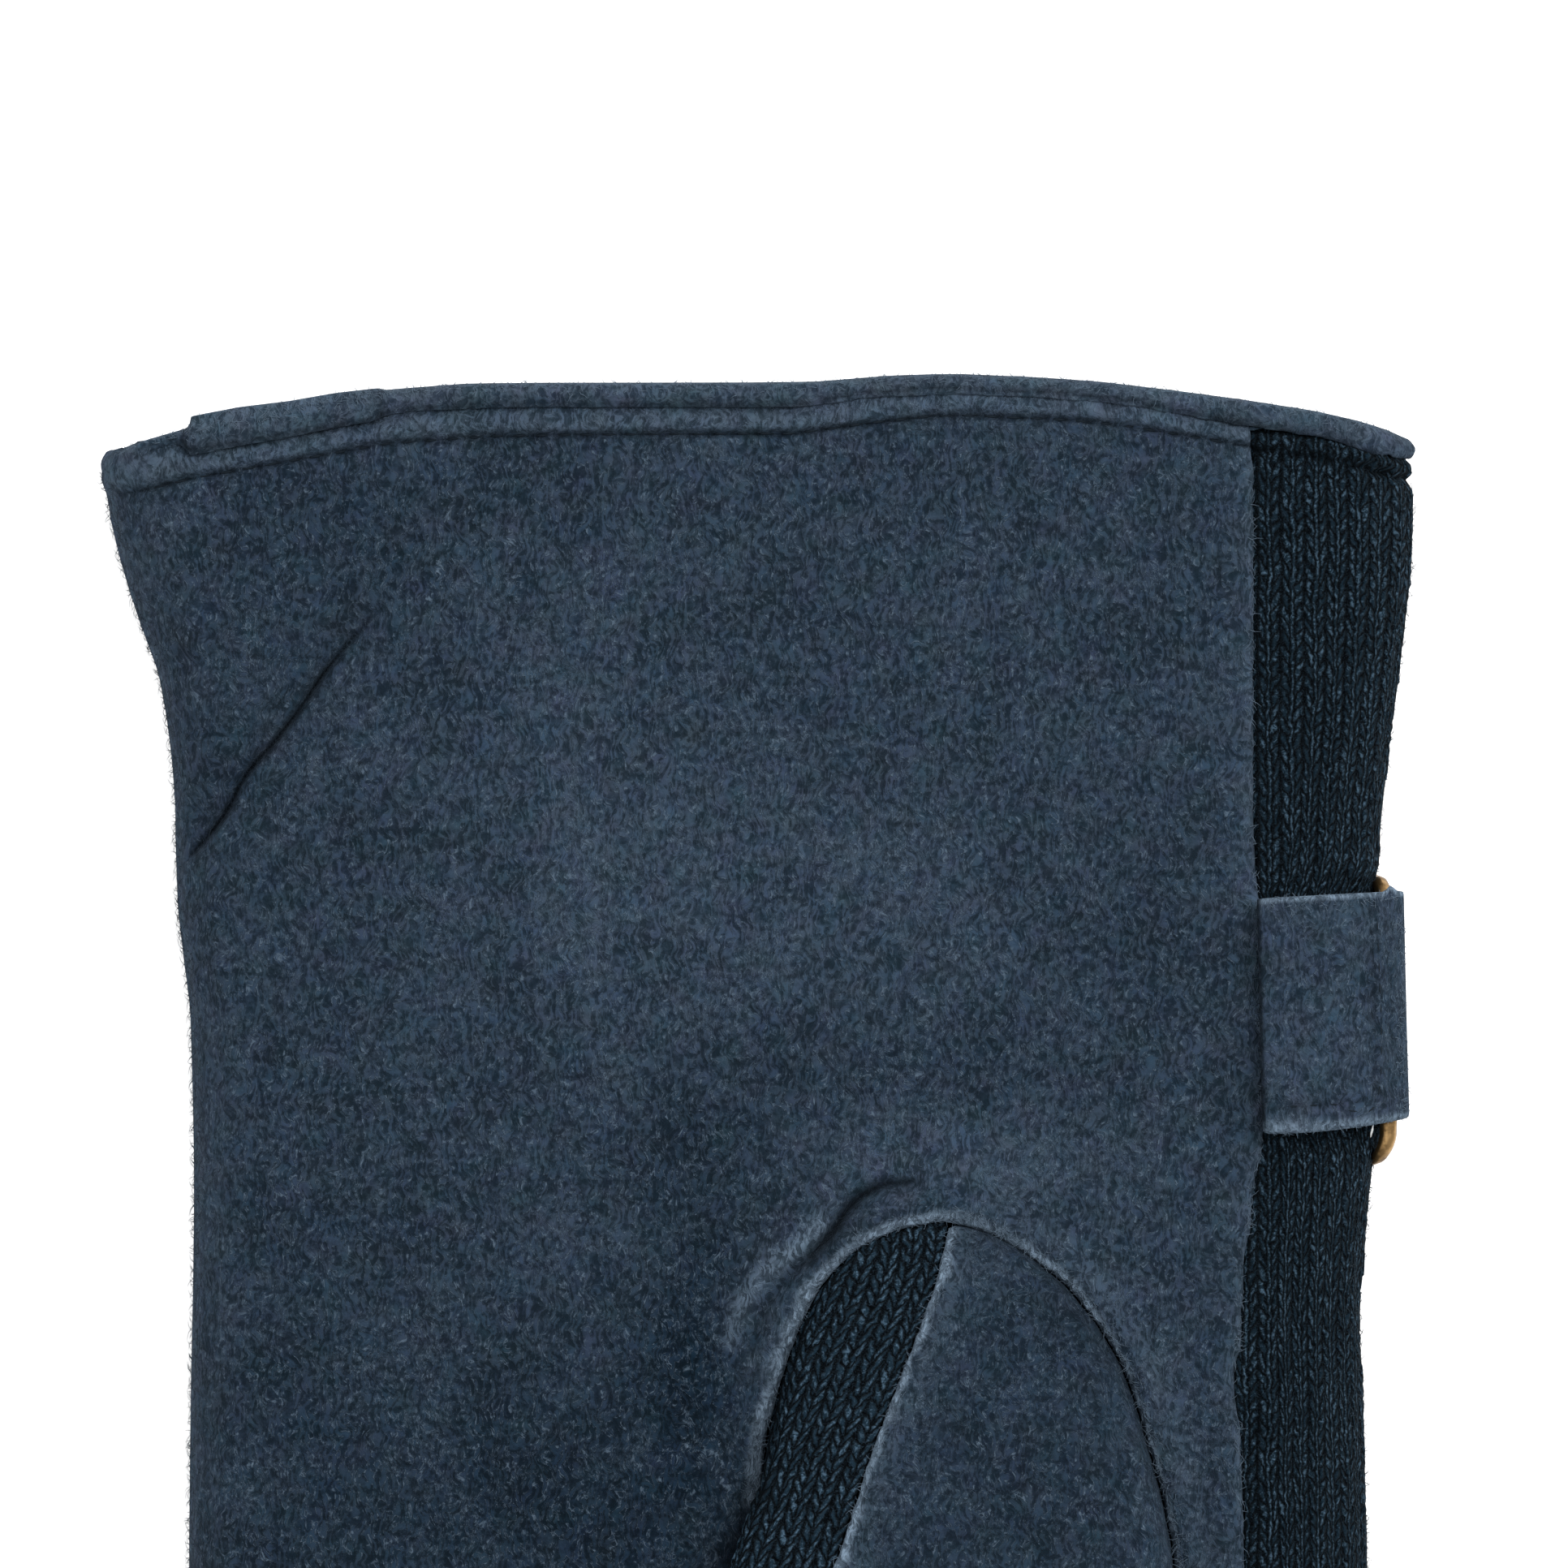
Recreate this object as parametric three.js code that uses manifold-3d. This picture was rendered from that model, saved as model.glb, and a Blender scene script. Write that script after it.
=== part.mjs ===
// A suede and knit dress glove for the left hand, lying on its back with the palm up.
// Millimetres. +Y points to the cuff, -Y to the fingertips, +X to the thumb side and +Z up.
// "Depth" is the distance below the highest point of the cuff edge, measured along -Y.
import * as THREE from "three";
import { mergeVertices } from "three/addons/utils/BufferGeometryUtils.js";
import Module from "manifold-3d";

const wasm = await Module();
wasm.setup();

// Overall sizes
const LENGTH = 241;
const CUFF_Y = LENGTH / 2;
const HEIGHT = 14;
const CROTCH = 160;
const GAP = 0.3;

// Wall thicknesses: suede on the palm side, knit on the back, and the side walls between them
const SUEDE = 1.4;
const KNIT = 2;
const SIDE = 1.6;

// Heights at which the palm and back panels meet the side walls
const BACK_EDGE = 3.5;
const PALM_EDGE = 9.6;

// Outline of the hand, by depth
const OUTLINE = [
  { depth: 0, left: -52, right: 51.9 },
  { depth: 7, left: -52, right: 51.9 },
  { depth: 10, left: -52.2, right: 52.6 },
  { depth: 13, left: -51.7, right: 52.6 },
  { depth: 19, left: -50, right: 52.2 },
  { depth: 25.3, left: -47.8, right: 51.4 },
  { depth: 28.6, left: -47.4, right: 51 },
  { depth: 33.8, left: -46.8, right: 50.3 },
  { depth: 38.5, left: -46.8, right: 49.8 },
  { depth: 43, left: -46.6, right: 47.9 },
  { depth: 51, left: -45.6, right: 47.6 },
  { depth: 58, left: -45.4, right: 47.8 },
  { depth: 62.5, left: -45.3, right: 49.4 },
  { depth: 67.5, left: -45.3, right: 49 },
  { depth: 74, left: -45.4, right: 48.4 },
  { depth: 84, left: -45.6, right: 48.6 },
  { depth: 96, left: -45.7, right: 49 },
  { depth: 115, left: -45.6, right: 48.6 },
  { depth: 135, left: -44.9, right: 47.2 },
  { depth: 150, left: -43.8, right: 45.9 },
  { depth: 162, left: -42.9, right: 44.8 },
];

// How far the mouth's edge drops below its highest point, across the cuff from -1 to 1
const MOUTH = [
  { across: -1, drop: 6.2 },
  { across: -0.94, drop: 5.3 },
  { across: -0.87, drop: 4.3 },
  { across: -0.72, drop: 2.8 },
  { across: -0.57, drop: 1.3 },
  { across: -0.41, drop: 0.75 },
  { across: 0.06, drop: 0.7 },
  { across: 0.27, drop: 0 },
  { across: 0.48, drop: 0.45 },
  { across: 0.7, drop: 1.75 },
  { across: 0.88, drop: 3.2 },
  { across: 0.96, drop: 4.3 },
  { across: 1, drop: 5 },
];
const MOUTH_FADE = 40;

// How far the crotch line lies above its lowest point, across the hand
const CROTCH_LINE = [
  { across: -1, rise: 7 },
  { across: -0.5, rise: 6 },
  { across: -0.2, rise: 0 },
  { across: 1, rise: 0.5 },
];

// Distances below the mouth's edge at which the hand has a section, with the swell of the hem
// and the lift of the back off the floor that makes room for the binding
const HAND_ROWS = [
  { below: 1.1, swell: 0, lift: 1.2 },
  { below: 2.7, swell: -0.3, lift: 1.2 },
  { below: 3.6, swell: 0.5, lift: 1 },
  { below: 4.6, swell: -0.4, lift: 0.7 },
  { below: 6, swell: 0, lift: 0.3 },
  { below: 9, swell: 0, lift: 0 },
  ...[13, 17, 21, 25, 29, 33, 37, 43, 51, 58, 63, 68, 74, 82, 94, 110, 126, 138, 149, 156]
    .map((below) => ({ below, swell: 0, lift: 0 })),
  { below: 160, swell: -1, lift: 0 },
];

// Folds pressed into the palm: a line, its half width and its depth
const FOLDS = [
  { fromX: -29.8, fromDepth: 18.8, toX: -45.4, toDepth: 38, half: 4.5, sink: 1.5 },
  { fromX: -3.5, fromDepth: 58, toX: -3, toDepth: 80, half: 6, sink: 0.8 },
  { fromX: 8.6, fromDepth: 31, toX: 5.4, toDepth: 35.5, half: 5, sink: 0.6 },
  { fromX: 2.5, fromDepth: 69.5, toX: 10.8, toDepth: 64, half: 4, sink: 0.8 },
  { fromX: -30, fromDepth: 126, toX: -16, toDepth: 132, half: 6, sink: 0.8 },
];

// Seam between the palm's suede and the knit on the thumb side
const SIDE_SEAM = [
  { depth: -5, x: 39.7 },
  { depth: 35, x: 39.7 },
  { depth: 42, x: 40.1 },
  { depth: 60.4, x: 40.6 },
  { depth: 67.5, x: 39.4 },
  { depth: 80.7, x: 38.2 },
  { depth: 92.5, x: 39 },
  { depth: 130, x: 39.8 },
  { depth: 160, x: 40.8 },
  { depth: 240, x: 46.4 },
];

// The four fingers: middle of the root, lean toward the thumb side in degrees, and width
const FINGERS = [
  { name: "index", x: 33.4, root: 158, tip: 230, lean: 4, width: 23 },
  { name: "middle", x: 10.8, root: 158, tip: LENGTH, lean: 0.5, width: 23.5 },
  { name: "ring", x: -12.2, root: 158, tip: 233, lean: -3.5, width: 22.5 },
  { name: "little", x: -32.8, root: 152, tip: 211, lean: -8.5, width: 20.5 },
];
const FINGER_ROWS = [
  { along: -0.12, girth: 1, top: 14, floor: 0 },
  { along: 0, girth: 1, top: 14, floor: 0 },
  { along: 0.35, girth: 0.96, top: 13.7, floor: 0 },
  { along: 0.65, girth: 0.91, top: 13.2, floor: 0 },
  { along: 0.82, girth: 0.85, top: 12.6, floor: 0 },
  { along: 0.92, girth: 0.72, top: 11.6, floor: 0 },
  { along: 0.975, girth: 0.52, top: 10, floor: 0.8 },
  { along: 1, girth: 0.26, top: 8.4, floor: 2.4 },
];

// Thumb hole in the palm, an arch whose head lies toward the cuff
const THUMB_HOLE = [
  { x: 14, depth: 119.6 },
  { x: 5, depth: 114 },
  { x: 0.8, depth: 104 },
  { x: -0.2, depth: 95 },
  { x: 0.4, depth: 86 },
  { x: 2.3, depth: 78.6 },
  { x: 4.9, depth: 72.9 },
  { x: 8.2, depth: 69.6 },
  { x: 12, depth: 68.1 },
  { x: 16.1, depth: 67.6 },
  { x: 20.5, depth: 69.5 },
  { x: 24.5, depth: 72.5 },
  { x: 29, depth: 78.6 },
  { x: 31.4, depth: 85.5 },
  { x: 33.4, depth: 94 },
  { x: 33.6, depth: 103 },
  { x: 31.2, depth: 111.5 },
  { x: 24, depth: 118.4 },
];
const RIM_RADIUS = 0.75;

// Thumb, folded over the palm: its edges, the suede's seam and its height, by depth
const THUMB_FLOOR = HEIGHT + 0.35;
const THUMB_EDGE = 17.9;
const THUMB = [
  { depth: 68.7, left: 11, seam: 15.2, right: 18, top: 15.1 },
  { depth: 69.8, left: 8.4, seam: 15, right: 20.2, top: 15.7 },
  { depth: 72.5, left: 5.6, seam: 14.4, right: 23.9, top: 16.9 },
  { depth: 76, left: 3.9, seam: 13.2, right: 26.6, top: 18.2 },
  { depth: 80.5, left: 2.3, seam: 11.4, right: 29.2, top: 19.8 },
  { depth: 86, left: 1.2, seam: 9.3, right: 31.2, top: 21.5 },
  { depth: 91, left: -0.8, seam: 7.7, right: 32.4, top: 22.8 },
  { depth: 96, left: -2.4, seam: 6, right: 33.3, top: 23.8 },
  { depth: 103, left: -4.9, seam: 3.4, right: 33.1, top: 24.9 },
  { depth: 112, left: -8, seam: 0.3, right: 30.4, top: 25.7 },
  { depth: 121, left: -11, seam: -2.7, right: 26.2, top: 26 },
  { depth: 133, left: -14.9, seam: -6.6, right: 20.8, top: 26 },
  { depth: 149, left: -19.4, seam: -11.2, right: 14, top: 25.6 },
  { depth: 163, left: -22, seam: -14.6, right: 6.4, top: 24.2 },
  { depth: 169, left: -21.4, seam: -15.2, right: 1, top: 22.7 },
  { depth: 173, left: -18.8, seam: -14.6, right: -4.6, top: 20.8 },
  { depth: 175, left: -15, seam: -12.6, right: -9, top: 18.8 },
];

// Wrist tab: the middle line of its suede, seen along Y, from the seam round the ring and back
const TAB_THICK = 1;
const TAB_TOP = 41.8;
const TAB_BOTTOM = 61;
const TAB_LINE = [
  { x: 40.5, z: 16 },
  { x: 44.5, z: 15.9 },
  { x: 47.6, z: 15 },
  { x: 50, z: 13.3 },
  { x: 51.45, z: 11.4 },
  { x: 51.8, z: 9.8 },
  { x: 51.35, z: 8.5 },
  { x: 50.45, z: 8.1 },
  { x: 49.5, z: 8.5 },
  { x: 49.05, z: 9.8 },
  { x: 48.65, z: 11.4 },
  { x: 47, z: 13 },
  { x: 44.3, z: 14.5 },
  { x: 40.5, z: 14.8 },
];

// Brass ring: a round wire bent to a long oblong that leans under the thumb side
const WIRE = 0.65;
const RING_LENGTH = 22;
const RING_CORNER = 1.7;
const RING_MIDDLE = 51.7;
const RING_BAR = { x: 50.45, z: 9.8 };
const RING_FOOT = { x: 48.7, z: WIRE };

// The value of a named column of a table at a place between its rows, joined by smooth curves
function read(rows, key, column, at) {
  const last = rows.length - 1;
  if (at <= rows[0][key]) return rows[0][column];
  if (at >= rows[last][key]) return rows[last][column];
  const i = rows.findIndex((row) => row[key] > at) - 1;
  const slope = (a, b) => (rows[b][column] - rows[a][column]) / (rows[b][key] - rows[a][key]);
  const here = slope(i, i + 1);
  const blend = (before) => (before * here > 0 ? (2 * before * here) / (before + here) : 0);
  const start = i > 0 ? blend(slope(i - 1, i)) : here;
  const end = i + 1 < last ? blend(slope(i + 1, i + 2)) : here;
  const step = rows[i + 1][key] - rows[i][key];
  const t = (at - rows[i][key]) / step;
  const rise = rows[i + 1][column] - rows[i][column];
  const a = step * start;
  const b = step * end;
  return rows[i][column] + a * t + (3 * rise - 2 * a - b) * t * t + (a + b - 2 * rise) * t * t * t;
}

const smooth = (low, high, value) => THREE.MathUtils.smoothstep(value, low, high);

// Solids

// A closed solid from corner points and triangles, turned so that its faces point out
function solidOf(points, triangles) {
  let volume = 0;
  for (const [a, b, c] of triangles) {
    volume += points[a].dot(points[b].clone().cross(points[c]));
  }
  const faces = volume < 0 ? triangles.map(([a, b, c]) => [a, c, b]) : triangles;
  const mesh = new wasm.Mesh({
    numProp: 3,
    vertProperties: new Float32Array(points.flatMap((p) => [p.x, p.y, p.z])),
    triVerts: new Uint32Array(faces.flat()),
  });
  return new wasm.Manifold(mesh);
}

// A solid from a three.js geometry that is closed
function solidFrom(geometry) {
  geometry.deleteAttribute("normal");
  geometry.deleteAttribute("uv");
  const merged = mergeVertices(geometry, 1e-4);
  const place = merged.getAttribute("position");
  const points = Array.from({ length: place.count }, (_, i) => new THREE.Vector3().fromBufferAttribute(place, i));
  const triangles = [];
  for (let i = 0; i < merged.index.count; i += 3) {
    triangles.push([merged.index.getX(i), merged.index.getX(i + 1), merged.index.getX(i + 2)]);
  }
  return solidOf(points, triangles);
}

// A solid lofted through closed sections of equal point count, capped at both ends or joined round
function loft(sections, round = false) {
  const count = sections[0].length;
  const points = sections.flat();
  const triangles = [];
  const rows = round ? sections.length : sections.length - 1;
  for (let row = 0; row < rows; row++) {
    const next = (row + 1) % sections.length;
    for (let i = 0; i < count; i++) {
      const j = (i + 1) % count;
      const [a, b] = [row * count + i, row * count + j];
      const [c, d] = [next * count + j, next * count + i];
      triangles.push([a, b, c], [a, c, d]);
    }
  }
  if (!round) {
    for (const row of [0, sections.length - 1]) {
      const middle = new THREE.Vector3();
      sections[row].forEach((p) => middle.addScaledVector(p, 1 / count));
      const centre = points.push(middle) - 1;
      for (let i = 0; i < count; i++) {
        const [a, b] = [row * count + i, row * count + ((i + 1) % count)];
        triangles.push(row === 0 ? [b, a, centre] : [a, b, centre]);
      }
    }
  }
  return solidOf(points, triangles);
}

// An upright prism on a plan outline of points with x and depth
function prism(plan, low, high) {
  const shape = new THREE.Shape(plan.map((p) => new THREE.Vector2(p.x, CUFF_Y - p.depth)));
  const body = new THREE.ExtrudeGeometry(shape, { depth: high - low, bevelEnabled: false });
  body.translate(0, 0, low);
  return solidFrom(body);
}

// A closed plan outline moved inward by a distance
function inset(plan, distance) {
  const area = plan.reduce((sum, p, i) => {
    const q = plan[(i + 1) % plan.length];
    return sum + p.x * q.depth - q.x * p.depth;
  }, 0);
  const side = Math.sign(area) * distance;
  return plan.map((p, i) => {
    const before = plan[(i + plan.length - 1) % plan.length];
    const after = plan[(i + 1) % plan.length];
    const run = new THREE.Vector2(after.x - before.x, after.depth - before.depth).normalize();
    return { x: p.x - run.y * side, depth: p.depth + run.x * side };
  });
}

// A plan outline smoothed through its corner points
function rounded(plan, count) {
  const curve = new THREE.CatmullRomCurve3(plan.map((p) => new THREE.Vector3(p.x, p.depth, 0)), true);
  return curve.getSpacedPoints(count).slice(0, -1).map((p) => ({ x: p.x, depth: p.y }));
}

// Cross-sections

// Corners of a flattened tube's section: flat above and below, rounded at both sides.
// size holds left, right, floor, top, the height of each side's widest place and the roll of each
// side; cols holds the number of spans of the floor, the top and each corner.
function section(size, cols) {
  const points = [];
  const corner = (x, z, rollX, rollZ, from) => {
    for (let k = 0; k < cols.corner; k++) {
      const angle = from + (k / cols.corner) * (Math.PI / 2);
      points.push({ x: x + rollX * Math.cos(angle), z: z + rollZ * Math.sin(angle) });
    }
  };
  const flat = (fromX, toX, z, spans) => {
    for (let k = 0; k < spans; k++) points.push({ x: THREE.MathUtils.lerp(fromX, toX, k / spans), z });
  };
  const { left, right, floor, top, leftSide, rightSide, leftRoll, rightRoll } = size;
  const [innerLeft, innerRight] = [left + leftRoll, right - rightRoll];
  flat(innerLeft, innerRight, floor, cols.floor);
  corner(innerRight, rightSide, rightRoll, rightSide - floor, -Math.PI / 2);
  corner(innerRight, rightSide, rightRoll, top - rightSide, 0);
  flat(innerRight, innerLeft, top, cols.top);
  corner(innerLeft, leftSide, leftRoll, top - leftSide, Math.PI / 2);
  corner(innerLeft, leftSide, leftRoll, leftSide - floor, Math.PI);
  return points;
}

// Sink of the palm's folds at a place
function foldSink(x, depth) {
  let sink = 0;
  for (const fold of FOLDS) {
    const run = new THREE.Vector2(fold.toX - fold.fromX, fold.toDepth - fold.fromDepth);
    const from = new THREE.Vector2(x - fold.fromX, depth - fold.fromDepth);
    const t = THREE.MathUtils.clamp(from.dot(run) / run.lengthSq(), 0, 1);
    const away = Math.min(1, from.addScaledVector(run, -t).length() / fold.half);
    sink += fold.sink * (1 - away * away) ** 2;
  }
  return sink;
}

// One section of the hand at a distance below the mouth's edge. grow swells it outward all round;
// walls set it inward by the thickness of the side, back and palm walls.
function handSection(row, walls, cols) {
  const sideDepth = row.below + MOUTH[0].drop * Math.max(0, 1 - row.below / MOUTH_FADE);
  const left = read(OUTLINE, "depth", "left", sideDepth);
  const right = read(OUTLINE, "depth", "right", sideDepth);
  const size = {
    left: left + walls.side,
    right: right - walls.side,
    floor: row.lift + walls.floor,
    top: HEIGHT - walls.top,
    leftSide: 6.5,
    rightSide: 8.4,
    leftRoll: 6 - walls.side,
    rightRoll: 7.4 - walls.side,
  };
  return section(size, cols).map(({ x, z }) => {
    const across = THREE.MathUtils.clamp((2 * (x - left)) / (right - left) - 1, -1, 1);
    const fade = Math.max(0, 1 - row.below / MOUTH_FADE);
    const crotch = read(CROTCH_LINE, "across", "rise", across) * Math.pow(row.below / CROTCH, 6);
    const depth = row.below + read(MOUTH, "across", "drop", across) * fade - crotch;
    const upper = smooth(HEIGHT * 0.6, HEIGHT * 0.9, z + walls.top);
    return new THREE.Vector3(x, CUFF_Y - depth, z + upper * (row.swell - foldSink(x, depth)));
  });
}

// The hand's filled form, inside the given walls
function hand(walls, cols) {
  const rows = HAND_ROWS.map((row) => ({ ...row }));
  if (walls.side > 0) {
    rows[0].below -= 2;
    rows.at(-1).below -= walls.side;
  }
  return loft(rows.map((row) => handSection(row, walls, cols)));
}

// The filled form of one finger, inside the given walls
function finger(item, walls, cols) {
  const lean = THREE.MathUtils.degToRad(item.lean);
  const reach = (item.tip - item.root) / Math.cos(lean);
  const sections = FINGER_ROWS.map((row) => {
    const half = (item.width / 2) * row.girth - walls.side;
    const along = row.along * reach - (row.along > 0.5 ? walls.side * (row.along - 0.5) * 2 : 0);
    const floor = row.floor + walls.floor;
    const top = row.top - walls.top;
    const side = (floor + top) / 2;
    const roll = Math.min(6 - walls.side, half * 0.8);
    const size = { left: -half, right: half, floor, top, leftSide: side, rightSide: side };
    return section({ ...size, leftRoll: roll, rightRoll: roll }, cols).map(({ x, z }) => {
      const px = item.x + x * Math.cos(lean) + along * Math.sin(lean);
      const depth = item.root - x * Math.sin(lean) + along * Math.cos(lean);
      return new THREE.Vector3(px, CUFF_Y - depth, z);
    });
  });
  return loft(sections);
}

// Hollow body of the hand and fingers
const NO_WALLS = { side: 0, floor: 0, top: 0 };
const WALLS = { side: SIDE, floor: KNIT, top: SUEDE };
const HAND_COLS = { floor: 2, top: 16, corner: 3 };
const FINGER_COLS = { floor: 1, top: 2, corner: 3 };
const FINGER_INNER_COLS = { floor: 1, top: 1, corner: 2 };

function body(walls, fingerCols) {
  return FINGERS.reduce(
    (whole, item) => whole.add(finger(item, walls, fingerCols)),
    hand(walls, HAND_COLS),
  );
}

const shell = body(NO_WALLS, FINGER_COLS).subtract(body(WALLS, FINGER_INNER_COLS));

// Plan regions that part the body's pieces

const FAR = 90;

// A point on a finger's middle line, continued past both ends
function axisPoint(item, depth) {
  const run = Math.tan(THREE.MathUtils.degToRad(item.lean)) * (depth - item.root);
  return { x: item.x + run, depth };
}

// Region between two lines, each a list of points from the cuff side to the fingertips
function between(lineA, lineB, low, high) {
  return prism([...lineA, ...[...lineB].reverse()], low, high);
}

const [INDEX, MIDDLE, RING_FINGER, LITTLE] = FINGERS;
const shifted = (line, by) => line.map((p) => ({ x: p.x + by, depth: p.depth }));
const axis = (item, from) => [axisPoint(item, from), axisPoint(item, LENGTH + 5)];
const edge = (x) => [{ x, depth: -10 }, { x, depth: LENGTH + 5 }];
const seamLine = SIDE_SEAM.map(({ x, depth }) => ({ x, depth })).concat({ x: 47, depth: LENGTH + 5 });
seamLine[0].depth = -10;
const half = GAP / 2;

const littleAxis = axis(LITTLE, -10);
const indexAxis = axis(INDEX, -10);
const ulnarRegion = between(edge(-FAR), shifted(littleAxis, -half), BACK_EDGE + half, 40);
const palmRegion = between(edge(-FAR), shifted(seamLine, -half), PALM_EDGE + half, 40)
  .add(ulnarRegion);
const backRegion = between(edge(-FAR), edge(FAR), -5, BACK_EDGE - half)
  .add(between(shifted(indexAxis, half), edge(FAR), -5, PALM_EDGE - half))
  .add(between(shifted(seamLine, half), edge(FAR), -5, 40));

// The raised raw rim round the head of the thumb hole
function thumbRim() {
  const line = rounded(inset(THUMB_HOLE, -0.65), 54).filter(
    (p) => p.depth < (p.x < 16 ? 84.5 : 115.5),
  );
  const path = new THREE.CatmullRomCurve3(
    line.map((p) => new THREE.Vector3(p.x, CUFF_Y - p.depth, HEIGHT + 0.25)),
  );
  const circle = new THREE.Shape();
  circle.absarc(0, 0, RIM_RADIUS, 0, 2 * Math.PI, false);
  return solidFrom(
    new THREE.ExtrudeGeometry(circle, { extrudePath: path, steps: 22, curveSegments: 3, bevelEnabled: false }),
  );
}

const holeOutline = rounded(THUMB_HOLE, 36);
const palmPanel = shell
  .intersect(palmRegion)
  .add(thumbRim())
  .subtract(prism(holeOutline, PALM_EDGE + 1, 20));
const backPanel = shell.intersect(backRegion);

// The strip between two neighbouring fingers
function fingerSide(outer, inner) {
  const region = between(
    shifted(axis(inner, inner.root - 12), half),
    shifted(axis(outer, inner.root - 12), -half),
    BACK_EDGE + half,
    PALM_EDGE - half,
  );
  return shell.intersect(region);
}

// Cuff binding: its section as distance below the mouth's edge and height off the hand's surface
const BINDING = [
  { below: 2.4, off: 0.3 },
  { below: 2.4, off: 0.8 },
  { below: 1.3, off: 1.15 },
  { below: 0.3, off: 0.8 },
  { below: 0, off: -0.7 },
  { below: 0.3, off: -2.3 },
  { below: 1.3, off: -2.7 },
  { below: 2.4, off: -2.4 },
  { below: 2.4, off: -1.9 },
  { below: 0.8, off: -1.9 },
  { below: 0.8, off: 0.3 },
];

// The lapped end of the binding, from the ulnar side inward
const LAP = [
  { x: -45.4, proud: 0.9 },
  { x: -41.5, proud: 0.85 },
  { x: -37.5, proud: 0.6 },
  { x: -33.8, proud: 0.45 },
  { x: -30.1, proud: 0.2 },
];

function cuffBinding() {
  const walls = (off) => {
    const top = off < -1 ? SUEDE + (-off - SIDE) : -off;
    const floor = off < -1 ? KNIT + (-off - SIDE) : -off;
    return { side: -off, floor, top };
  };
  const loops = BINDING.map(({ below, off }) =>
    handSection({ below, swell: 0, lift: 1.2 }, walls(off), HAND_COLS),
  );
  const lap = LAP.map(({ x, proud }) => {
    const edgeDepth = read(MOUTH, "across", "drop", x / OUTLINE[0].right);
    const profile = [
      { below: 2.4, z: 14.6 },
      { below: 2.4, z: 15.3 },
      { below: 1.3, z: 15.7 },
      { below: 0.1 - proud, z: 15.2 },
      { below: -proud, z: 14 },
      { below: 0.1 - proud, z: 13 },
      { below: 0.5, z: 13 },
      { below: 0.6, z: 14.6 },
    ];
    return profile.map(({ below, z }) => new THREE.Vector3(x, CUFF_Y - edgeDepth - below, z));
  });
  return loft(loops, true).add(loft(lap));
}

// Thumb

const THUMB_COLS = { floor: 2, top: 4, corner: 3 };

function thumbSection(row, side, floor, top) {
  const width = row.right - row.left - 2 * side;
  const roll = Math.min(5.5 - side, width * 0.36);
  const level = floor + (top - floor) * 0.5;
  const size = {
    left: row.left + side,
    right: row.right - side,
    floor,
    top,
    leftSide: level,
    rightSide: level,
    leftRoll: roll,
    rightRoll: roll,
  };
  return section(size, THUMB_COLS).map(({ x, z }) => new THREE.Vector3(x, CUFF_Y - row.depth, z));
}

function thumbShell() {
  const outer = loft(THUMB.map((row) => thumbSection(row, 0, THUMB_FLOOR, row.top)));
  const inner = loft(
    THUMB.slice(1).map((row, i, rows) => {
      const open = 1 - smooth(86, 92, row.depth);
      const floor = THUMB_FLOOR + 1.5 - open * 4;
      const depth = i === rows.length - 1 ? row.depth - 1.6 : row.depth + 0.4 * open;
      return thumbSection({ ...row, depth }, SUEDE + 0.1, floor, row.top - SUEDE);
    }),
  );
  const collarPlan = rounded(inset(THUMB_HOLE, GAP), 36);
  const collar = prism(collarPlan, HEIGHT - SUEDE - 0.3, THUMB_FLOOR + 0.3);
  // The skirt closes the walls between the collar and the tube, whose lower corners are round
  const skirt = loft(
    THUMB.filter((row) => row.depth < 125).map((row) => thumbSection(row, 0, THUMB_FLOOR - 8, row.top)),
  ).intersect(prism(collarPlan, THUMB_FLOOR, THUMB_FLOOR + 2.6));
  // The mouth stays under the low roof at the thumb's root and opens fully below it
  const mouthPlan = rounded(inset(THUMB_HOLE, GAP + SUEDE), 22);
  const belowRoot = [{ x: -FAR, depth: 78 }, { x: FAR, depth: 78 }, { x: FAR, depth: 130 }, { x: -FAR, depth: 130 }];
  const mouth = prism(mouthPlan, HEIGHT - 4, HEIGHT).add(
    prism(mouthPlan, HEIGHT - 4, THUMB_FLOOR + 2).intersect(prism(belowRoot, HEIGHT - 5, THUMB_FLOOR + 3)),
  );
  return outer.add(collar).add(skirt).subtract(inner.add(mouth));
}

// Regions of the thumb's suede: right of its seam, down to the hole's rim or to the lower edge
const thumbSeam = THUMB.map(({ seam, depth }) => ({ x: seam, depth }));
const seamStart = { x: thumbSeam[0].x, depth: 60 };
const seamEnd = { x: thumbSeam.at(-1).x, depth: 185 };
const wholeSeam = [seamStart, ...thumbSeam, seamEnd];
const upperRegion = [...wholeSeam, { x: FAR, depth: 185 }, { x: FAR, depth: 60 }];
const rimRegion = [
  ...wholeSeam.filter((p) => p.depth < 87),
  { x: 15, depth: 88 },
  { x: 16, depth: 90 },
  { x: 16, depth: 120.5 },
  { x: FAR, depth: 120.5 },
  { x: FAR, depth: 60 },
];

function thumbSuedeRegion(by) {
  return prism(inset(upperRegion, by), THUMB_EDGE + by, 40).add(prism(inset(rimRegion, by), 5, 40));
}

const thumb = thumbShell();
const thumbFront = thumb.intersect(thumbSuedeRegion(half));
const thumbBack = thumb.subtract(thumbSuedeRegion(-half));

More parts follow.
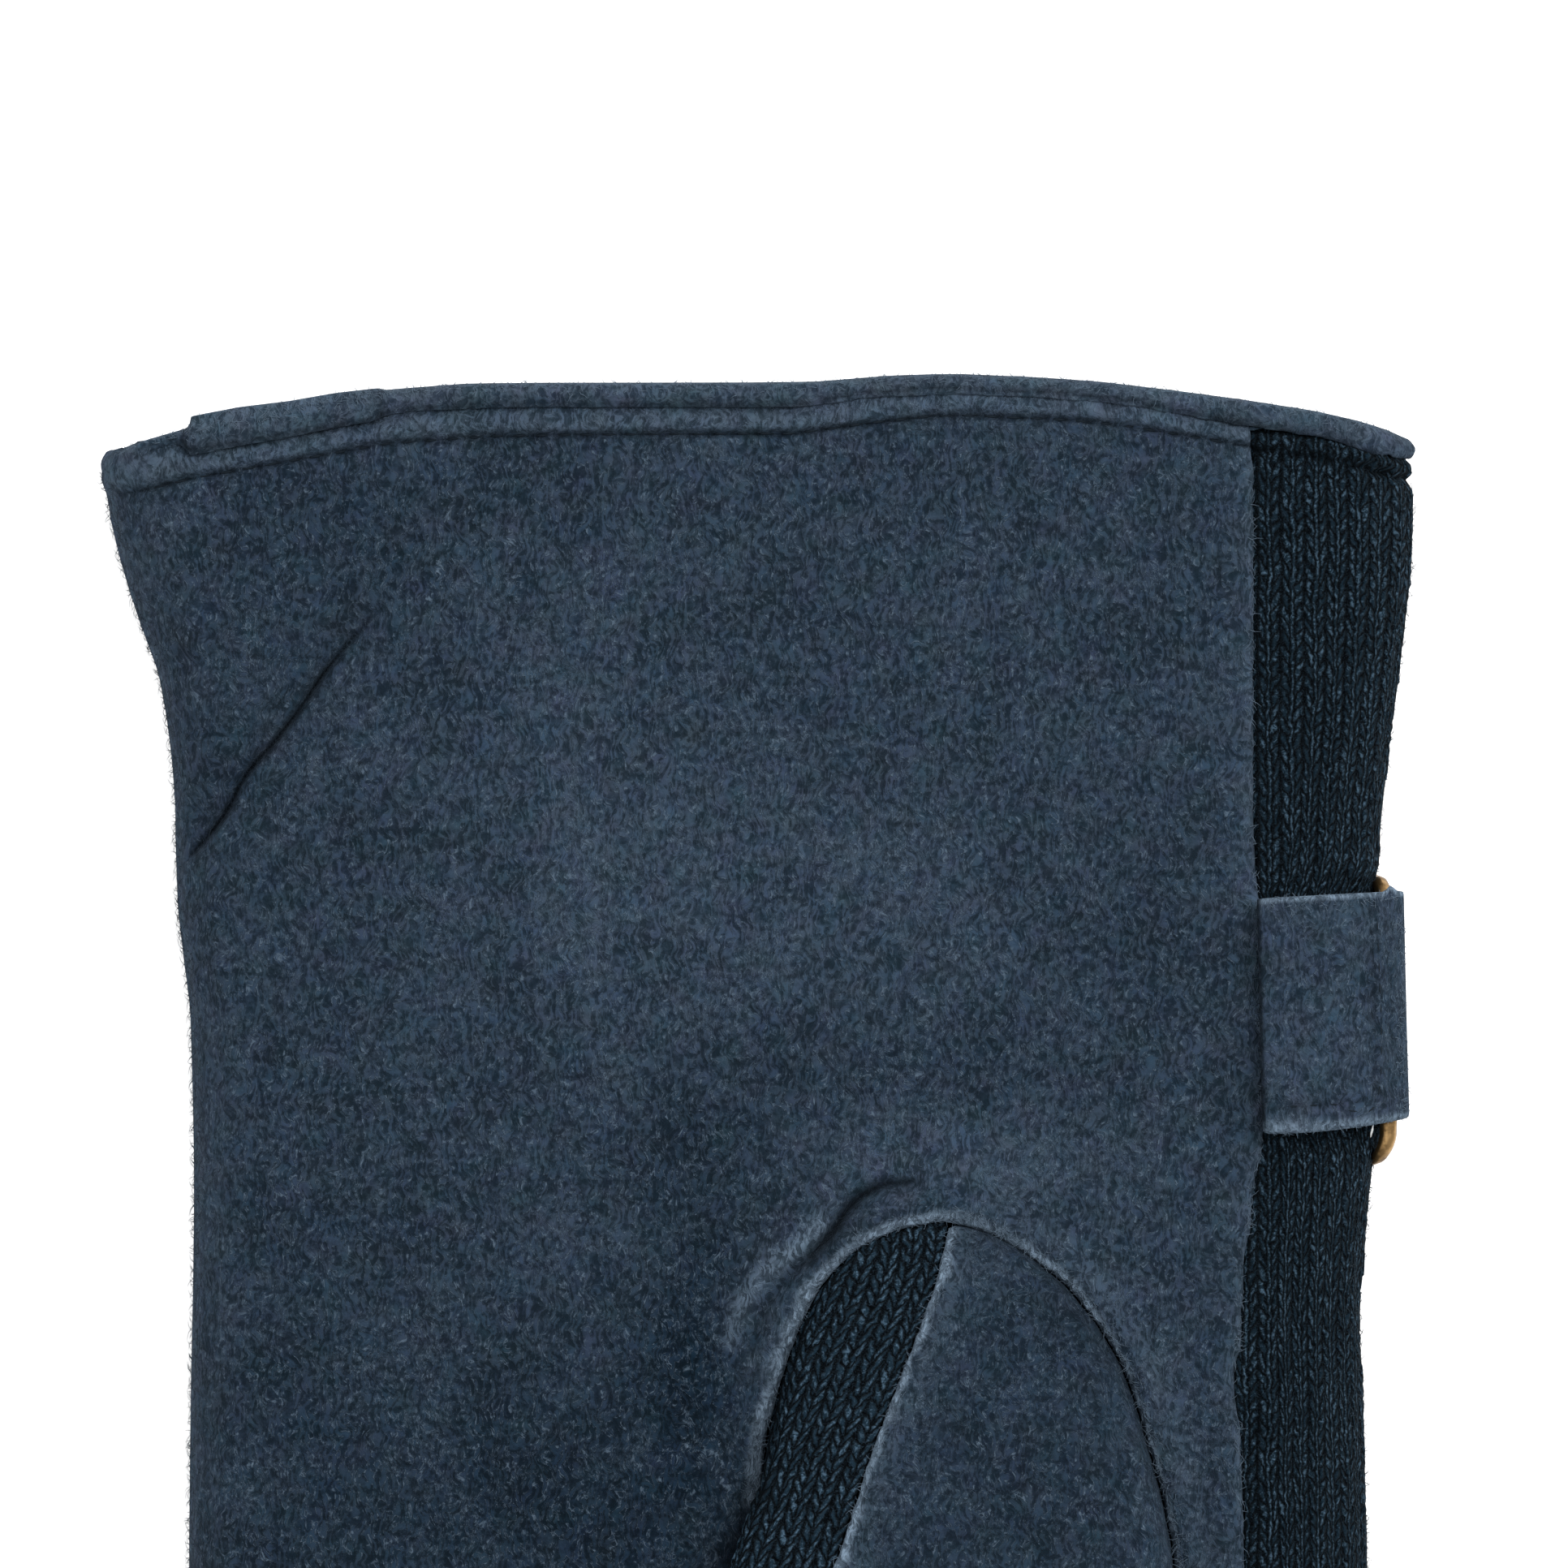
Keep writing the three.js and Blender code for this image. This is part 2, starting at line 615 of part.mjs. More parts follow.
// Wrist tab: its section is the middle line thickened to both sides, drawn along Y
function wristTab() {
  const line = new THREE.SplineCurve(TAB_LINE.map((p) => new THREE.Vector2(p.x, p.z)));
  const steps = 22;
  const rim = (side) =>
    Array.from({ length: steps + 1 }, (_, i) => {
      const at = line.getPoint(i / steps);
      const run = line.getTangent(i / steps);
      return new THREE.Vector2(at.x - run.y * side, at.y + run.x * side);
    });
  const shape = new THREE.Shape([...rim(TAB_THICK / 2), ...rim(-TAB_THICK / 2).reverse()]);
  const body = new THREE.ExtrudeGeometry(shape, { depth: TAB_BOTTOM - TAB_TOP, bevelEnabled: false });
  body.rotateX(Math.PI / 2);
  body.translate(0, CUFF_Y - TAB_TOP, 0);
  return solidFrom(body);
}

// Ring: a round wire along a closed oblong with round corners
function ring() {
  const lean = new THREE.Vector3(RING_FOOT.x - RING_BAR.x, 0, RING_FOOT.z - RING_BAR.z);
  const drop = lean.length();
  const down = lean.clone().normalize();
  const along = new THREE.Vector3(0, 1, 0);
  const face = new THREE.Vector3().crossVectors(along, down);
  const centre = new THREE.Vector3(
    (RING_BAR.x + RING_FOOT.x) / 2,
    CUFF_Y - RING_MIDDLE,
    (RING_BAR.z + RING_FOOT.z) / 2,
  );
  const sides = 8;
  const sections = [];
  const corners = [
    [1, 1, 0],
    [-1, 1, 90],
    [-1, -1, 180],
    [1, -1, 270],
  ];
  for (const [sideA, sideB, start] of corners) {
    for (let k = 0; k <= 5; k++) {
      const angle = THREE.MathUtils.degToRad(start + k * 18);
      const out = along.clone().multiplyScalar(Math.cos(angle)).addScaledVector(down, Math.sin(angle));
      const middle = centre
        .clone()
        .addScaledVector(along, sideA * (RING_LENGTH / 2 - RING_CORNER))
        .addScaledVector(down, sideB * (drop / 2 - RING_CORNER))
        .addScaledVector(out, RING_CORNER);
      const loop = [];
      for (let i = 0; i < sides; i++) {
        const turn = ((i + 0.5) / sides) * 2 * Math.PI;
        loop.push(
          middle
            .clone()
            .addScaledVector(out, WIRE * Math.cos(turn))
            .addScaledVector(face, WIRE * Math.sin(turn)),
        );
      }
      sections.push(loop);
    }
  }
  return loft(sections, true);
}

// Scene

const FINISHES = {
  suede: { color: 0x33404f, roughness: 0.95, metalness: 0 },
  knit: { color: 0x1b272e, roughness: 1, metalness: 0 },
  brass: { color: 0x9a7440, roughness: 0.35, metalness: 1 },
};

function piece(name, solid, finish) {
  const made = solid.getMesh();
  const geometry = new THREE.BufferGeometry();
  geometry.setAttribute("position", new THREE.BufferAttribute(new Float32Array(made.vertProperties), 3));
  geometry.setIndex(new THREE.BufferAttribute(new Uint32Array(made.triVerts), 1));
  geometry.computeVertexNormals();
  const mesh = new THREE.Mesh(geometry, new THREE.MeshStandardMaterial(FINISHES[finish]));
  mesh.name = name;
  return mesh;
}

const glove = new THREE.Group();
glove.name = "suede_glove";
glove.add(
  piece("palm_panel", palmPanel, "suede"),
  piece("back_panel", backPanel, "knit"),
  piece("finger_side_1", fingerSide(INDEX, MIDDLE), "knit"),
  piece("finger_side_2", fingerSide(MIDDLE, RING_FINGER), "knit"),
  piece("finger_side_3", fingerSide(RING_FINGER, LITTLE), "knit"),
  piece("cuff_binding", cuffBinding(), "suede"),
  piece("thumb_front", thumbFront, "suede"),
  piece("thumb_back", thumbBack, "knit"),
  piece("wrist_tab", wristTab(), "suede"),
  piece("ring", ring(), "brass"),
);

export default glove;
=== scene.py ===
"""Dress the suede and knit glove: napped suede, knitted stitches, raw edges, thread and brass."""

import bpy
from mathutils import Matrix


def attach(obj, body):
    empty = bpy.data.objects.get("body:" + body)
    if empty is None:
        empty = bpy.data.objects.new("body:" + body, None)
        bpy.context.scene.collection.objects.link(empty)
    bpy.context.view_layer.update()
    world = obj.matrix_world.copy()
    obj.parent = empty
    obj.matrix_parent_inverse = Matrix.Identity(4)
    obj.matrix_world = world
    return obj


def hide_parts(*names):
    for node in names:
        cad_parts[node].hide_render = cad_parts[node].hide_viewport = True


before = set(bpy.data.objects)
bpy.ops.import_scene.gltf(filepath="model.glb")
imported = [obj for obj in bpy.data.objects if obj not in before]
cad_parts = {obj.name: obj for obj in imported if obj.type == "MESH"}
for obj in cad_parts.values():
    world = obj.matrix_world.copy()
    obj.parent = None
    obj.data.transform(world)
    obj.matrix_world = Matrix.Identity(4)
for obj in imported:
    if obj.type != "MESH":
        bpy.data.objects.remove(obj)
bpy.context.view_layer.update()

import logging
import math
from dataclasses import dataclass, field
from enum import Enum
from typing import Callable, Sequence, Union

import bmesh
import bpy
import numpy as np
from mathutils import Vector
from mathutils.bvhtree import BVHTree

LOG = logging.getLogger("glove")

MM = 0.001
# Millimetres: the cuff's end along y, the palm's height and the pitch of the sewn stitches
CUFF_Y = 120.5
PALM_TOP = 14.0
STITCH_PITCH = 1.75
TAB_PITCH = 1.6
# Heights between which the sides turn into the upper face
UPPER_FACE = (8, 12)
# Metres: where rays start that look down on the glove
ABOVE = 0.05
# The picture's scale and width in pixels, which set the camera's field of view
PIXELS_PER_MM = 15.4
PICTURE = 1932

Colour = tuple[float, float, float]
Place = tuple[float, float]
Amount = Union[np.ndarray, float]
Socket = bpy.types.NodeSocket
Source = Union[Socket, float, Sequence[float]]


class Slot(Enum):
    """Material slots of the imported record."""

    SUEDE = "suede"
    KNIT = "knit"
    BRASS = "brass"


# Shape tables, in millimetres: x runs to the thumb side and depth runs from the cuff to the tips


@dataclass(frozen=True)
class Profile:
    """A value that changes smoothly between rows of (station, value)."""

    rows: tuple[Place, ...]

    def at(self, station: np.ndarray) -> np.ndarray:
        """Read the profile.

        Args:
            station: Places along the profile.

        Returns:
            The value at each place, held level past both ends.
        """
        xs = np.array([row[0] for row in self.rows], float)
        ys = np.array([row[1] for row in self.rows], float)
        return np.interp(station, xs, ys)


@dataclass(frozen=True)
class Line:
    """A line drawn on the glove, as (x, depth) points."""

    points: tuple[Place, ...]

    def nearest(self, x: np.ndarray, depth: np.ndarray, reach: float = 12.0
                ) -> tuple[np.ndarray, np.ndarray, np.ndarray]:
        """Measure places against the line.

        Args:
            x: Places across the glove.
            depth: Places down the glove.
            reach: Distance from the line's own box beyond which places count as far away.

        Returns:
            The distance from the line, the side (positive is left when walking along it) and the
            share of the line's length at the nearest point.
        """
        ends = np.array(self.points)
        (low_x, low_d), (high_x, high_d) = ends.min(axis=0) - reach, ends.max(axis=0) + reach
        near = (x > low_x) & (x < high_x) & (depth > low_d) & (depth < high_d)
        px, pd = x[near], depth[near]
        best = np.full(px.shape, 1e9)
        side = np.zeros(px.shape)
        share = np.zeros(px.shape)
        spans = [math.dist(a, b) for a, b in zip(self.points, self.points[1:])]
        whole = sum(spans)
        walked = 0.0
        for (a, b), span in zip(zip(self.points, self.points[1:]), spans):
            run = ((b[0] - a[0]) / span, (b[1] - a[1]) / span)
            dx, dy = px - a[0], pd - a[1]
            along = np.clip(dx * run[0] + dy * run[1], 0, span)
            away = np.hypot(dx - along * run[0], dy - along * run[1])
            nearer = away < best
            best = np.where(nearer, away, best)
            side = np.where(nearer, np.sign(dx * run[1] - dy * run[0]), side)
            share = np.where(nearer, (walked + along) / whole, share)
            walked += span
        out = np.full(x.shape, 1e9), np.zeros(x.shape), np.zeros(x.shape)
        for whole_array, part in zip(out, (best, side, share)):
            whole_array[near] = part
        return out

    def walk(self, pitch: float) -> list[Place]:
        """Return points spaced evenly along the smoothed line, pitch millimetres apart."""
        fine: list[Place] = []
        pts = [self.points[0], *self.points, self.points[-1]]
        for p0, p1, p2, p3 in zip(pts, pts[1:], pts[2:], pts[3:]):
            steps = max(2, int(math.dist(p1, p2) / 0.1))
            for k in range(steps):
                t = k / steps
                fine.append(tuple(
                    0.5 * (2 * b + (c - a) * t + (2 * a - 5 * b + 4 * c - d) * t * t
                           + (3 * b - a - 3 * c + d) * t ** 3)
                    for a, b, c, d in zip(p0, p1, p2, p3)))
        fine.append(self.points[-1])
        out, gone = [fine[0]], 0.0
        for a, b in zip(fine, fine[1:]):
            gone += math.dist(a, b)
            if gone >= pitch:
                out.append(b)
                gone = 0.0
        return out

    def smoothed(self, pitch: float = 0.8) -> "Line":
        """Return the same line with its corners rounded."""
        return Line(tuple(self.walk(pitch)))


@dataclass(frozen=True)
class HandShape:
    """The hand's outline, mouth, seams and folds that the dressing follows."""

    left: Profile = Profile((
        (0, -52), (10, -52.2), (13, -51.7), (19, -50), (25.3, -47.8), (28.6, -47.4), (33.8, -46.8),
        (43, -46.6), (51, -45.6), (67.5, -45.3), (84, -45.6), (96, -45.7), (115, -45.6),
        (135, -44.9), (150, -43.8), (162, -42.9)))
    right: Profile = Profile((
        (0, 51.9), (10, 52.6), (13, 52.6), (19, 52.2), (25.3, 51.4), (33.8, 50.3), (38.5, 49.8),
        (43, 47.9), (51, 47.6), (58, 47.8), (62.5, 49.4), (67.5, 49), (74, 48.4), (96, 49),
        (115, 48.6), (135, 47.2), (150, 45.9), (162, 44.8)))
    mouth: Profile = Profile((
        (-1, 6.2), (-0.94, 5.3), (-0.87, 4.3), (-0.72, 2.8), (-0.57, 1.3), (-0.41, 0.75),
        (0.06, 0.7), (0.27, 0), (0.48, 0.45), (0.7, 1.75), (0.88, 3.2), (0.96, 4.3), (1, 5)))
    binding_edge: Profile = Profile((
        (-53, 1.3), (-46.4, 1.3), (-45.4, 2.2), (-31, 2.3), (-29, 2.0), (3, 2.1), (8, 1.7), (17, 1.6),
        (30, 1.7), (38, 2.2), (53, 2.3)))
    hem_edge: Profile = Profile((
        (-53, 4.7), (-30, 4.5), (-15, 4.3), (3, 4.2), (9, 3.7), (17, 3.3), (30, 3.4), (40, 4),
        (53, 4.3)))
    side_seam: Profile = Profile((
        (-5, 39.7), (35, 39.7), (42, 40.1), (60.4, 40.6), (67.5, 39.4), (80.7, 38.2), (92.5, 39),
        (130, 39.8), (160, 40.8), (240, 46.4)))
    mouth_fade: float = 40

    def below_mouth(self, x: np.ndarray, depth: np.ndarray) -> np.ndarray:
        """Measure places against the mouth.

        Args:
            x: Places across the glove.
            depth: Places down the glove.

        Returns:
            The distance below the mouth's edge at each place.
        """
        left, right = self.left.at(depth), self.right.at(depth)
        across = np.clip((2 * (x - left)) / (right - left) - 1, -1, 1)
        drop = self.mouth.at(across)
        return (depth - drop) / (1 - drop / self.mouth_fade)

    def hem_line(self, edge: Profile, start: float, stop: float) -> Line:
        """Draw a hem edge.

        Args:
            edge: Distance of the edge below the mouth, by place across.
            start: Where the line starts across the glove.
            stop: Where it stops.

        Returns:
            The line.
        """
        xs = np.arange(start, stop, 1.5)
        drop = self.mouth.at(np.clip((2 * (xs + 52)) / 103.9 - 1, -1, 1))
        depths = drop + edge.at(xs) * (1 - drop / self.mouth_fade)
        return Line(tuple((float(x), float(d)) for x, d in zip(xs, depths)))

    def seam_line(self, depths: Sequence[float], shift: float = 0.0) -> Line:
        """Return the side seam through depths, moved sideways by shift."""
        return Line(tuple((float(self.side_seam.at(np.array(d))) + shift, float(d)) for d in depths))


@dataclass(frozen=True)
class NapAndLightMark:
    """A patch painted lighter or darker: brushed nap together with painted light and shade."""

    x: float
    depth: float
    wide: float
    tall: float
    tone: float

    def at(self, x: np.ndarray, depth: np.ndarray) -> np.ndarray:
        """Return the mark's tone at each place."""
        across, down = (x - self.x) / self.wide, (depth - self.depth) / self.tall
        return self.tone * np.exp(-across ** 2 - down ** 2)


HAND = HandShape()

CROSSING_FOLD = Line((
    (-28.2, 16.6), (-31.5, 20.3), (-34.5, 23.8), (-36.7, 27), (-38.8, 29.7), (-41, 32.3), (-42.4, 35),
    (-43.8, 36.9), (-45.3, 38.6))).smoothed()
ARCH_CREASE = Line((
    (14.2, 64.9), (10.9, 64.8), (9.3, 65.2), (8, 65.9), (6.9, 67.1), (6.1, 68.4), (4.9, 69.8),
    (3.9, 70.9), (2.6, 72.3), (1.2, 74), (0.1, 76.2), (-0.6, 78.8), (-1.1, 82))).smoothed()
ARCH_SHELF = Line((
    (5, 68.2), (3.7, 69.5), (2.1, 70.8), (0.4, 72.3), (-1.2, 74.4), (-2.2, 77.5))).smoothed()
ARCH_EDGE = Line((
    (-0.2, 90), (0.3, 85.4), (1.1, 82), (2.2, 78.6), (3.3, 75.6), (4.8, 72.9), (6.3, 71), (8.2, 69.5),
    (10, 68.5), (12, 68), (14, 67.7), (16.1, 67.5), (18.3, 68.2), (20.5, 69.4), (22.6, 70.9), (24.6, 72.5),
    (26.9, 75.3), (29, 78.5), (30.4, 82), (31.5, 85.5), (32.5, 89), (33.4, 93), (33.9, 98),
    (33.6, 103.5), (32.6, 108.4), (30.6, 113))).smoothed()
THUMB_SEAM = Line((
    (15.3, 67.6), (15.1, 70.8), (14.4, 72.9), (13.3, 76), (12, 78.8), (10.8, 82.2), (9.3, 86),
    (8, 89.9), (6.4, 95), (3.4, 103), (0.3, 112), (-2.7, 121), (-6.6, 133), (-11.2, 149),
    (-14.6, 163), (-15.2, 169), (-14.8, 173.6)))
THUMB_LEFT = Profile((
    (68.7, 11), (69.8, 8.4), (72.5, 5.6), (76, 3.9), (80.5, 2.3), (86, 1.2), (91, -0.8), (96, -2.4),
    (103, -4.9), (112, -8), (121, -11), (133, -14.9), (149, -19.4), (163, -22), (169, -21.4),
    (173, -18.8), (175, -15)))
THUMB_TOP = Profile((
    (68.7, 15.1), (72.5, 16.9), (76, 18.2), (80.5, 19.8), (86, 21.5), (91, 22.8), (96, 23.8),
    (103, 24.9), (112, 25.7), (121, 26), (133, 26), (149, 25.6), (163, 24.2), (169, 22.7), (175, 18.8)))
THUMB_SEAM_X = Profile(tuple((depth, x) for x, depth in THUMB_SEAM.points))
# Palm patches: brushed nap together with painted light and shade, a broad painted highlight in the middle and
# painted shade falling off to the left, in the valley beside the thumb hole and below the hem.
NAP_AND_LIGHT_MARKS = (
    NapAndLightMark(2, 42, 20, 10, 0.22), NapAndLightMark(-12, 37, 9, 14, 0.14), NapAndLightMark(15, 63.4, 11, 3.2, 0.5),
    NapAndLightMark(-14, 92, 30, 15, -0.44), NapAndLightMark(-5.2, 75, 4, 12, -0.42), NapAndLightMark(-37, 72, 6, 30, -0.12),
    NapAndLightMark(14, 55, 13, 3, -0.22), NapAndLightMark(-4, 60.5, 8, 4, -0.2), NapAndLightMark(-31, 13, 8, 5, -0.22),
    NapAndLightMark(34, 80, 2, 8, 0.12), NapAndLightMark(38, 84, 4, 12, -0.2), NapAndLightMark(0.2, 79, 1.8, 7, 0.26),
    NapAndLightMark(-43, 20, 6, 6, -0.08), NapAndLightMark(-18, 26, 7, 8, 0.14), NapAndLightMark(30, 45, 5, 9, -0.12),
    NapAndLightMark(-39, 24, 6, 7, -0.1),
)
# Thumb and tab patches; the tab's right edge is painted darker, painted shade where it rolls round the ring.
THUMB_MARKS = (NapAndLightMark(17, 72.5, 5, 3, 0.3), NapAndLightMark(21, 90, 9, 14, -0.08))
TAB_MARKS = (NapAndLightMark(45, 56, 4, 4, 0.12), NapAndLightMark(51, 51, 1.7, 10, -0.34))


@dataclass(frozen=True)
class FingerAxis:
    """One finger's middle line and width."""

    x: float
    root: float
    lean: float
    width: float


FINGER_AXES = (
    FingerAxis(33.4, 158, 4, 23),
    FingerAxis(10.8, 158, 0.5, 23.5),
    FingerAxis(-12.2, 158, -3.5, 22.5),
    FingerAxis(-32.8, 152, -8.5, 20.5),
)


def smoothstep(low: float, high: float, value: np.ndarray) -> np.ndarray:
    """Ease from 0 at low to 1 at high."""
    t = np.clip((value - low) / (high - low), 0, 1)
    return t * t * (3 - 2 * t)


def fading(low: float, high: float, value: np.ndarray) -> np.ndarray:
    """Ease from 1 at low to 0 at high."""
    return 1 - smoothstep(low, high, value)


def hump(value: np.ndarray, middle: Amount, half: Amount, power: int = 2) -> np.ndarray:
    """Return 1 where value is at the middle and about a third at half's distance from it."""
    return np.exp(-((value - middle) / half) ** power)


def ripple(value: np.ndarray, pitch: float) -> np.ndarray:
    """Return a wave between -1 and 1 with a crest at each whole pitch."""
    return np.cos(value * math.tau / pitch)


def split(places: np.ndarray) -> tuple[np.ndarray, np.ndarray, np.ndarray]:
    """Return copies of the x, the depth and the height of places."""
    return places[:, 0].copy(), CUFF_Y - places[:, 1], places[:, 2].copy()


def rolling(x: np.ndarray, y: np.ndarray, size: float, seed: int) -> np.ndarray:
    """Slow even undulation between -1 and 1.

    Args:
        x: Places across.
        y: Places along.
        size: Length of the shortest wave, in millimetres.
        seed: Which undulation to take.

    Returns:
        The undulation at each place.
    """
    rng = np.random.default_rng(seed)
    total = np.zeros(x.shape)
    for k in range(7):
        angle = rng.uniform(0, math.tau)
        wave = math.tau / (size * rng.uniform(1, 2.4))
        along = x * math.cos(angle) + y * math.sin(angle)
        total += np.sin(along * wave + rng.uniform(0, math.tau))
    return total / 4


# Shader wiring


class Wiring:
    """Adds nodes to one node tree and joins their sockets."""

    def __init__(self, tree: bpy.types.NodeTree) -> None:
        """Keep the tree and clear it."""
        self.tree = tree
        tree.nodes.clear()

    def add(self, kind: str, **settings: object) -> bpy.types.Node:
        """Add a node.

        Args:
            kind: The node's type name.
            **settings: Its properties.

        Returns:
            The new node.
        """
        node = self.tree.nodes.new(kind)
        for key, value in settings.items():
            setattr(node, key, value)
        return node

    def feed(self, socket: Socket, value: Source) -> None:
        """Join a socket to another one, or set its value, where a colour gets full alpha."""
        if isinstance(value, bpy.types.NodeSocket):
            self.tree.links.new(value, socket)
        else:
            socket.default_value = (*value, 1.0) if socket.type == "RGBA" else value

    def fix(self, node: bpy.types.Node, **values: Source) -> None:
        """Feed a node's inputs by name, with underlines for the spaces."""
        for name, value in values.items():
            self.feed(node.inputs[name.replace("_", " ")], value)

    def solve(self, node: bpy.types.Node, values: Sequence[Source]) -> Socket:
        """Feed a node's inputs in order and return its first output."""
        for socket, value in zip(node.inputs, values):
            self.feed(socket, value)
        return node.outputs[0]

    def math(self, operation: str, *values: Source) -> Socket:
        """Return the result of a Math node."""
        return self.solve(self.add("ShaderNodeMath", operation=operation), values)

    def vector(self, operation: str, *values: Source) -> Socket:
        """Return the vector result of a Vector Math node."""
        return self.solve(self.add("ShaderNodeVectorMath", operation=operation), values)

    def plus(self, first: Source, second: Source) -> Socket:
        """Return the sum of two values."""
        return self.math("ADD", first, second)

    def minus(self, first: Source, second: Source) -> Socket:
        """Return the first value less the second."""
        return self.math("SUBTRACT", first, second)

    def times(self, first: Source, second: Source) -> Socket:
        """Return the product of two values."""
        return self.math("MULTIPLY", first, second)

    def size(self, value: Source) -> Socket:
        """Return a value without its sign."""
        return self.math("ABSOLUTE", value)

    def mixed(self, kind: str, first_input: int, output: int, values: Sequence[Source]) -> Socket:
        """Return the result of a Mix node.

        Args:
            kind: What it mixes.
            first_input: Number of the input for the first value, before that for the second.
            output: Number of the output.
            values: The share and the two values.

        Returns:
            The mixed value.
        """
        node = self.add("ShaderNodeMix", data_type=kind)
        for index, value in zip((0, first_input, first_input + 1), values):
            self.feed(node.inputs[index], value)
        return node.outputs[output]

    def blend(self, share: Source, first: Source, second: Source) -> Socket:
        """Return a colour mixed from first to second by share."""
        return self.mixed("RGBA", 6, 2, (share, first, second))

    def between(self, share: Source, first: Source, second: Source) -> Socket:
        """Return a value mixed from first to second by share."""
        return self.mixed("FLOAT", 2, 0, (share, first, second))

    def ease(self, value: Source, low: float, high: float, out: Place = (0.0, 1.0)) -> Socket:
        """Return a value eased from out[0] at low to out[1] at high."""
        node = self.add("ShaderNodeMapRange", interpolation_type="SMOOTHSTEP")
        return self.solve(node, (value, low, high, *out))

    def noise(self, place: Source, scale: float, detail: float = 2.0, rough: float = 0.5,
              bend: float = 0.0) -> bpy.types.Node:
        """Return a Noise Texture node on the given coordinates."""
        node = self.add("ShaderNodeTexNoise")
        self.fix(node, Vector=place, Scale=scale, Detail=detail, Roughness=rough, Distortion=bend)
        return node

    def cloud(self, *settings: Union[Source, float]) -> Socket:
        """Return the values of a noise, which takes the same settings as the node."""
        return self.noise(*settings).outputs[0]

    def drift(self, place: Source, scale: float, detail: float) -> Socket:
        """Return a vector that wanders around zero by up to half a unit."""
        return self.vector("SUBTRACT", self.noise(place, scale, detail).outputs[1], (0.5, 0.5, 0.5))

    def place(self) -> Socket:
        """Return the Object coordinates."""
        return self.add("ShaderNodeTexCoord").outputs["Object"]

    def parts(self, vector: Source) -> Sequence[Socket]:
        """Return a vector's three parts."""
        node = self.add("ShaderNodeSeparateXYZ")
        self.feed(node.inputs[0], vector)
        return node.outputs

    def joined(self, *parts: Source) -> Socket:
        """Return the vector that has these parts."""
        return self.solve(self.add("ShaderNodeCombineXYZ"), parts)

    def marks(self) -> Sequence[Socket]:
        """Return a piece's painted shade, its share of pale raw fibre, and its nap tone with painted light
        and shade.
        """
        return self.parts(self.add("ShaderNodeAttribute", attribute_name="marks").outputs["Vector"])

    def group(self, tree: bpy.types.NodeTree, **values: Source) -> Sequence[Socket]:
        """Place a node group, feed its inputs and return its outputs."""
        node = self.add("ShaderNodeGroup", node_tree=tree)
        self.fix(node, **values)
        return node.outputs

    def bump(self, shader: bpy.types.Node, height: Source, strength: float, distance: float) -> None:
        """Tilt a shader's normal by a height."""
        node = self.add("ShaderNodeBump")
        self.fix(node, Height=height, Strength=strength, Distance=distance)
        self.fix(shader, Normal=node.outputs[0])


VECTOR_SOCKETS = ("Place", "Map", "Tint")


def shader_group(name: str, takes: Sequence[str], gives: Sequence[str]
                 ) -> tuple[Wiring, Sequence[Socket], bpy.types.Node]:
    """Start a shader node group with named sockets.

    Args:
        name: The group's name.
        takes: Names of its inputs.
        gives: Names of its outputs.

    Returns:
        The group's wiring, the sockets that hold its inputs, and its output node.
    """
    tree = bpy.data.node_groups.new(name, "ShaderNodeTree")
    for labels, way in ((takes, "INPUT"), (gives, "OUTPUT")):
        for label in labels:
            kind = "NodeSocketVector" if label in VECTOR_SOCKETS else "NodeSocketFloat"
            tree.interface.new_socket(name=label, in_out=way, socket_type=kind)
    w = Wiring(tree)
    return w, w.add("NodeGroupInput").outputs, w.add("NodeGroupOutput")


def nap_group() -> bpy.types.NodeTree:
    """Build the suede's nap: short curled hairs lying in patches that are brushed different ways."""
    w, takes, outlet = shader_group(
        "suede_nap", ("Place", "Hair"), ("Shade", "Patch", "Hair", "Speck", "Height", "Tint"))
    place = takes["Place"]
    patch = w.cloud(place, 105, 3, 0.55, 0.6)
    brushed = w.cloud(place, 380, 2, 0.5, 0.6)
    curled = w.vector("ADD", place, w.vector("MULTIPLY", w.drift(place, 520, 1), (0.0021, 0.0021, 0.0021)))
    lays, hairs = [], []
    for turn, stretch, scale in ((0.45, 0.24, 3300), (-0.8, 0.26, 3100), (1.7, 0.26, 3600)):
        way = w.add("ShaderNodeMapping", vector_type="POINT")
        w.fix(way, Vector=curled, Rotation=(0, 0, turn), Scale=(1.0, stretch, 1.0))
        lays.append(w.cloud(way.outputs[0], scale, 1, 0.5, 0.3))
        hairs.append(w.ease(w.size(w.minus(lays[-1], 0.5)), 0.0, 0.055, (1.0, 0.0)))
    turned = w.ease(brushed, 0.42, 0.58)
    lay = w.between(turned, lays[0], lays[1])
    crossing = w.times(hairs[2], w.ease(patch, 0.5, 0.6))
    hair = w.math("MAXIMUM", w.between(turned, hairs[0], hairs[1]), crossing)
    grain = w.cloud(place, 1500, 4, 0.68)
    w.fix(
        outlet,
        Shade=w.plus(w.times(w.ease(lay, 0.3, 0.7), 0.5), w.times(w.ease(grain, 0.26, 0.74), 0.5)),
        Patch=w.plus(w.times(patch, 0.6), w.times(brushed, 0.4)),
        Hair=w.times(w.times(hair, w.ease(grain, 0.42, 0.6)), takes["Hair"]),
        Speck=w.ease(w.cloud(place, 1500, 1), 0.76, 0.82),
        Height=w.plus(w.times(lay, 0.8), w.plus(w.times(hair, 0.35), w.times(grain, 0.5))),
        Tint=w.vector("ADD", w.vector("MULTIPLY", w.drift(place, 430, 2), (0.7, 0.25, 0.35)), (1, 1, 1)))
    return w.tree


# The knit's stitches, in millimetres, and how far a stitch's legs slant in courses
WALE = 1.86
COURSE = 1.15
SLANT = 1.25


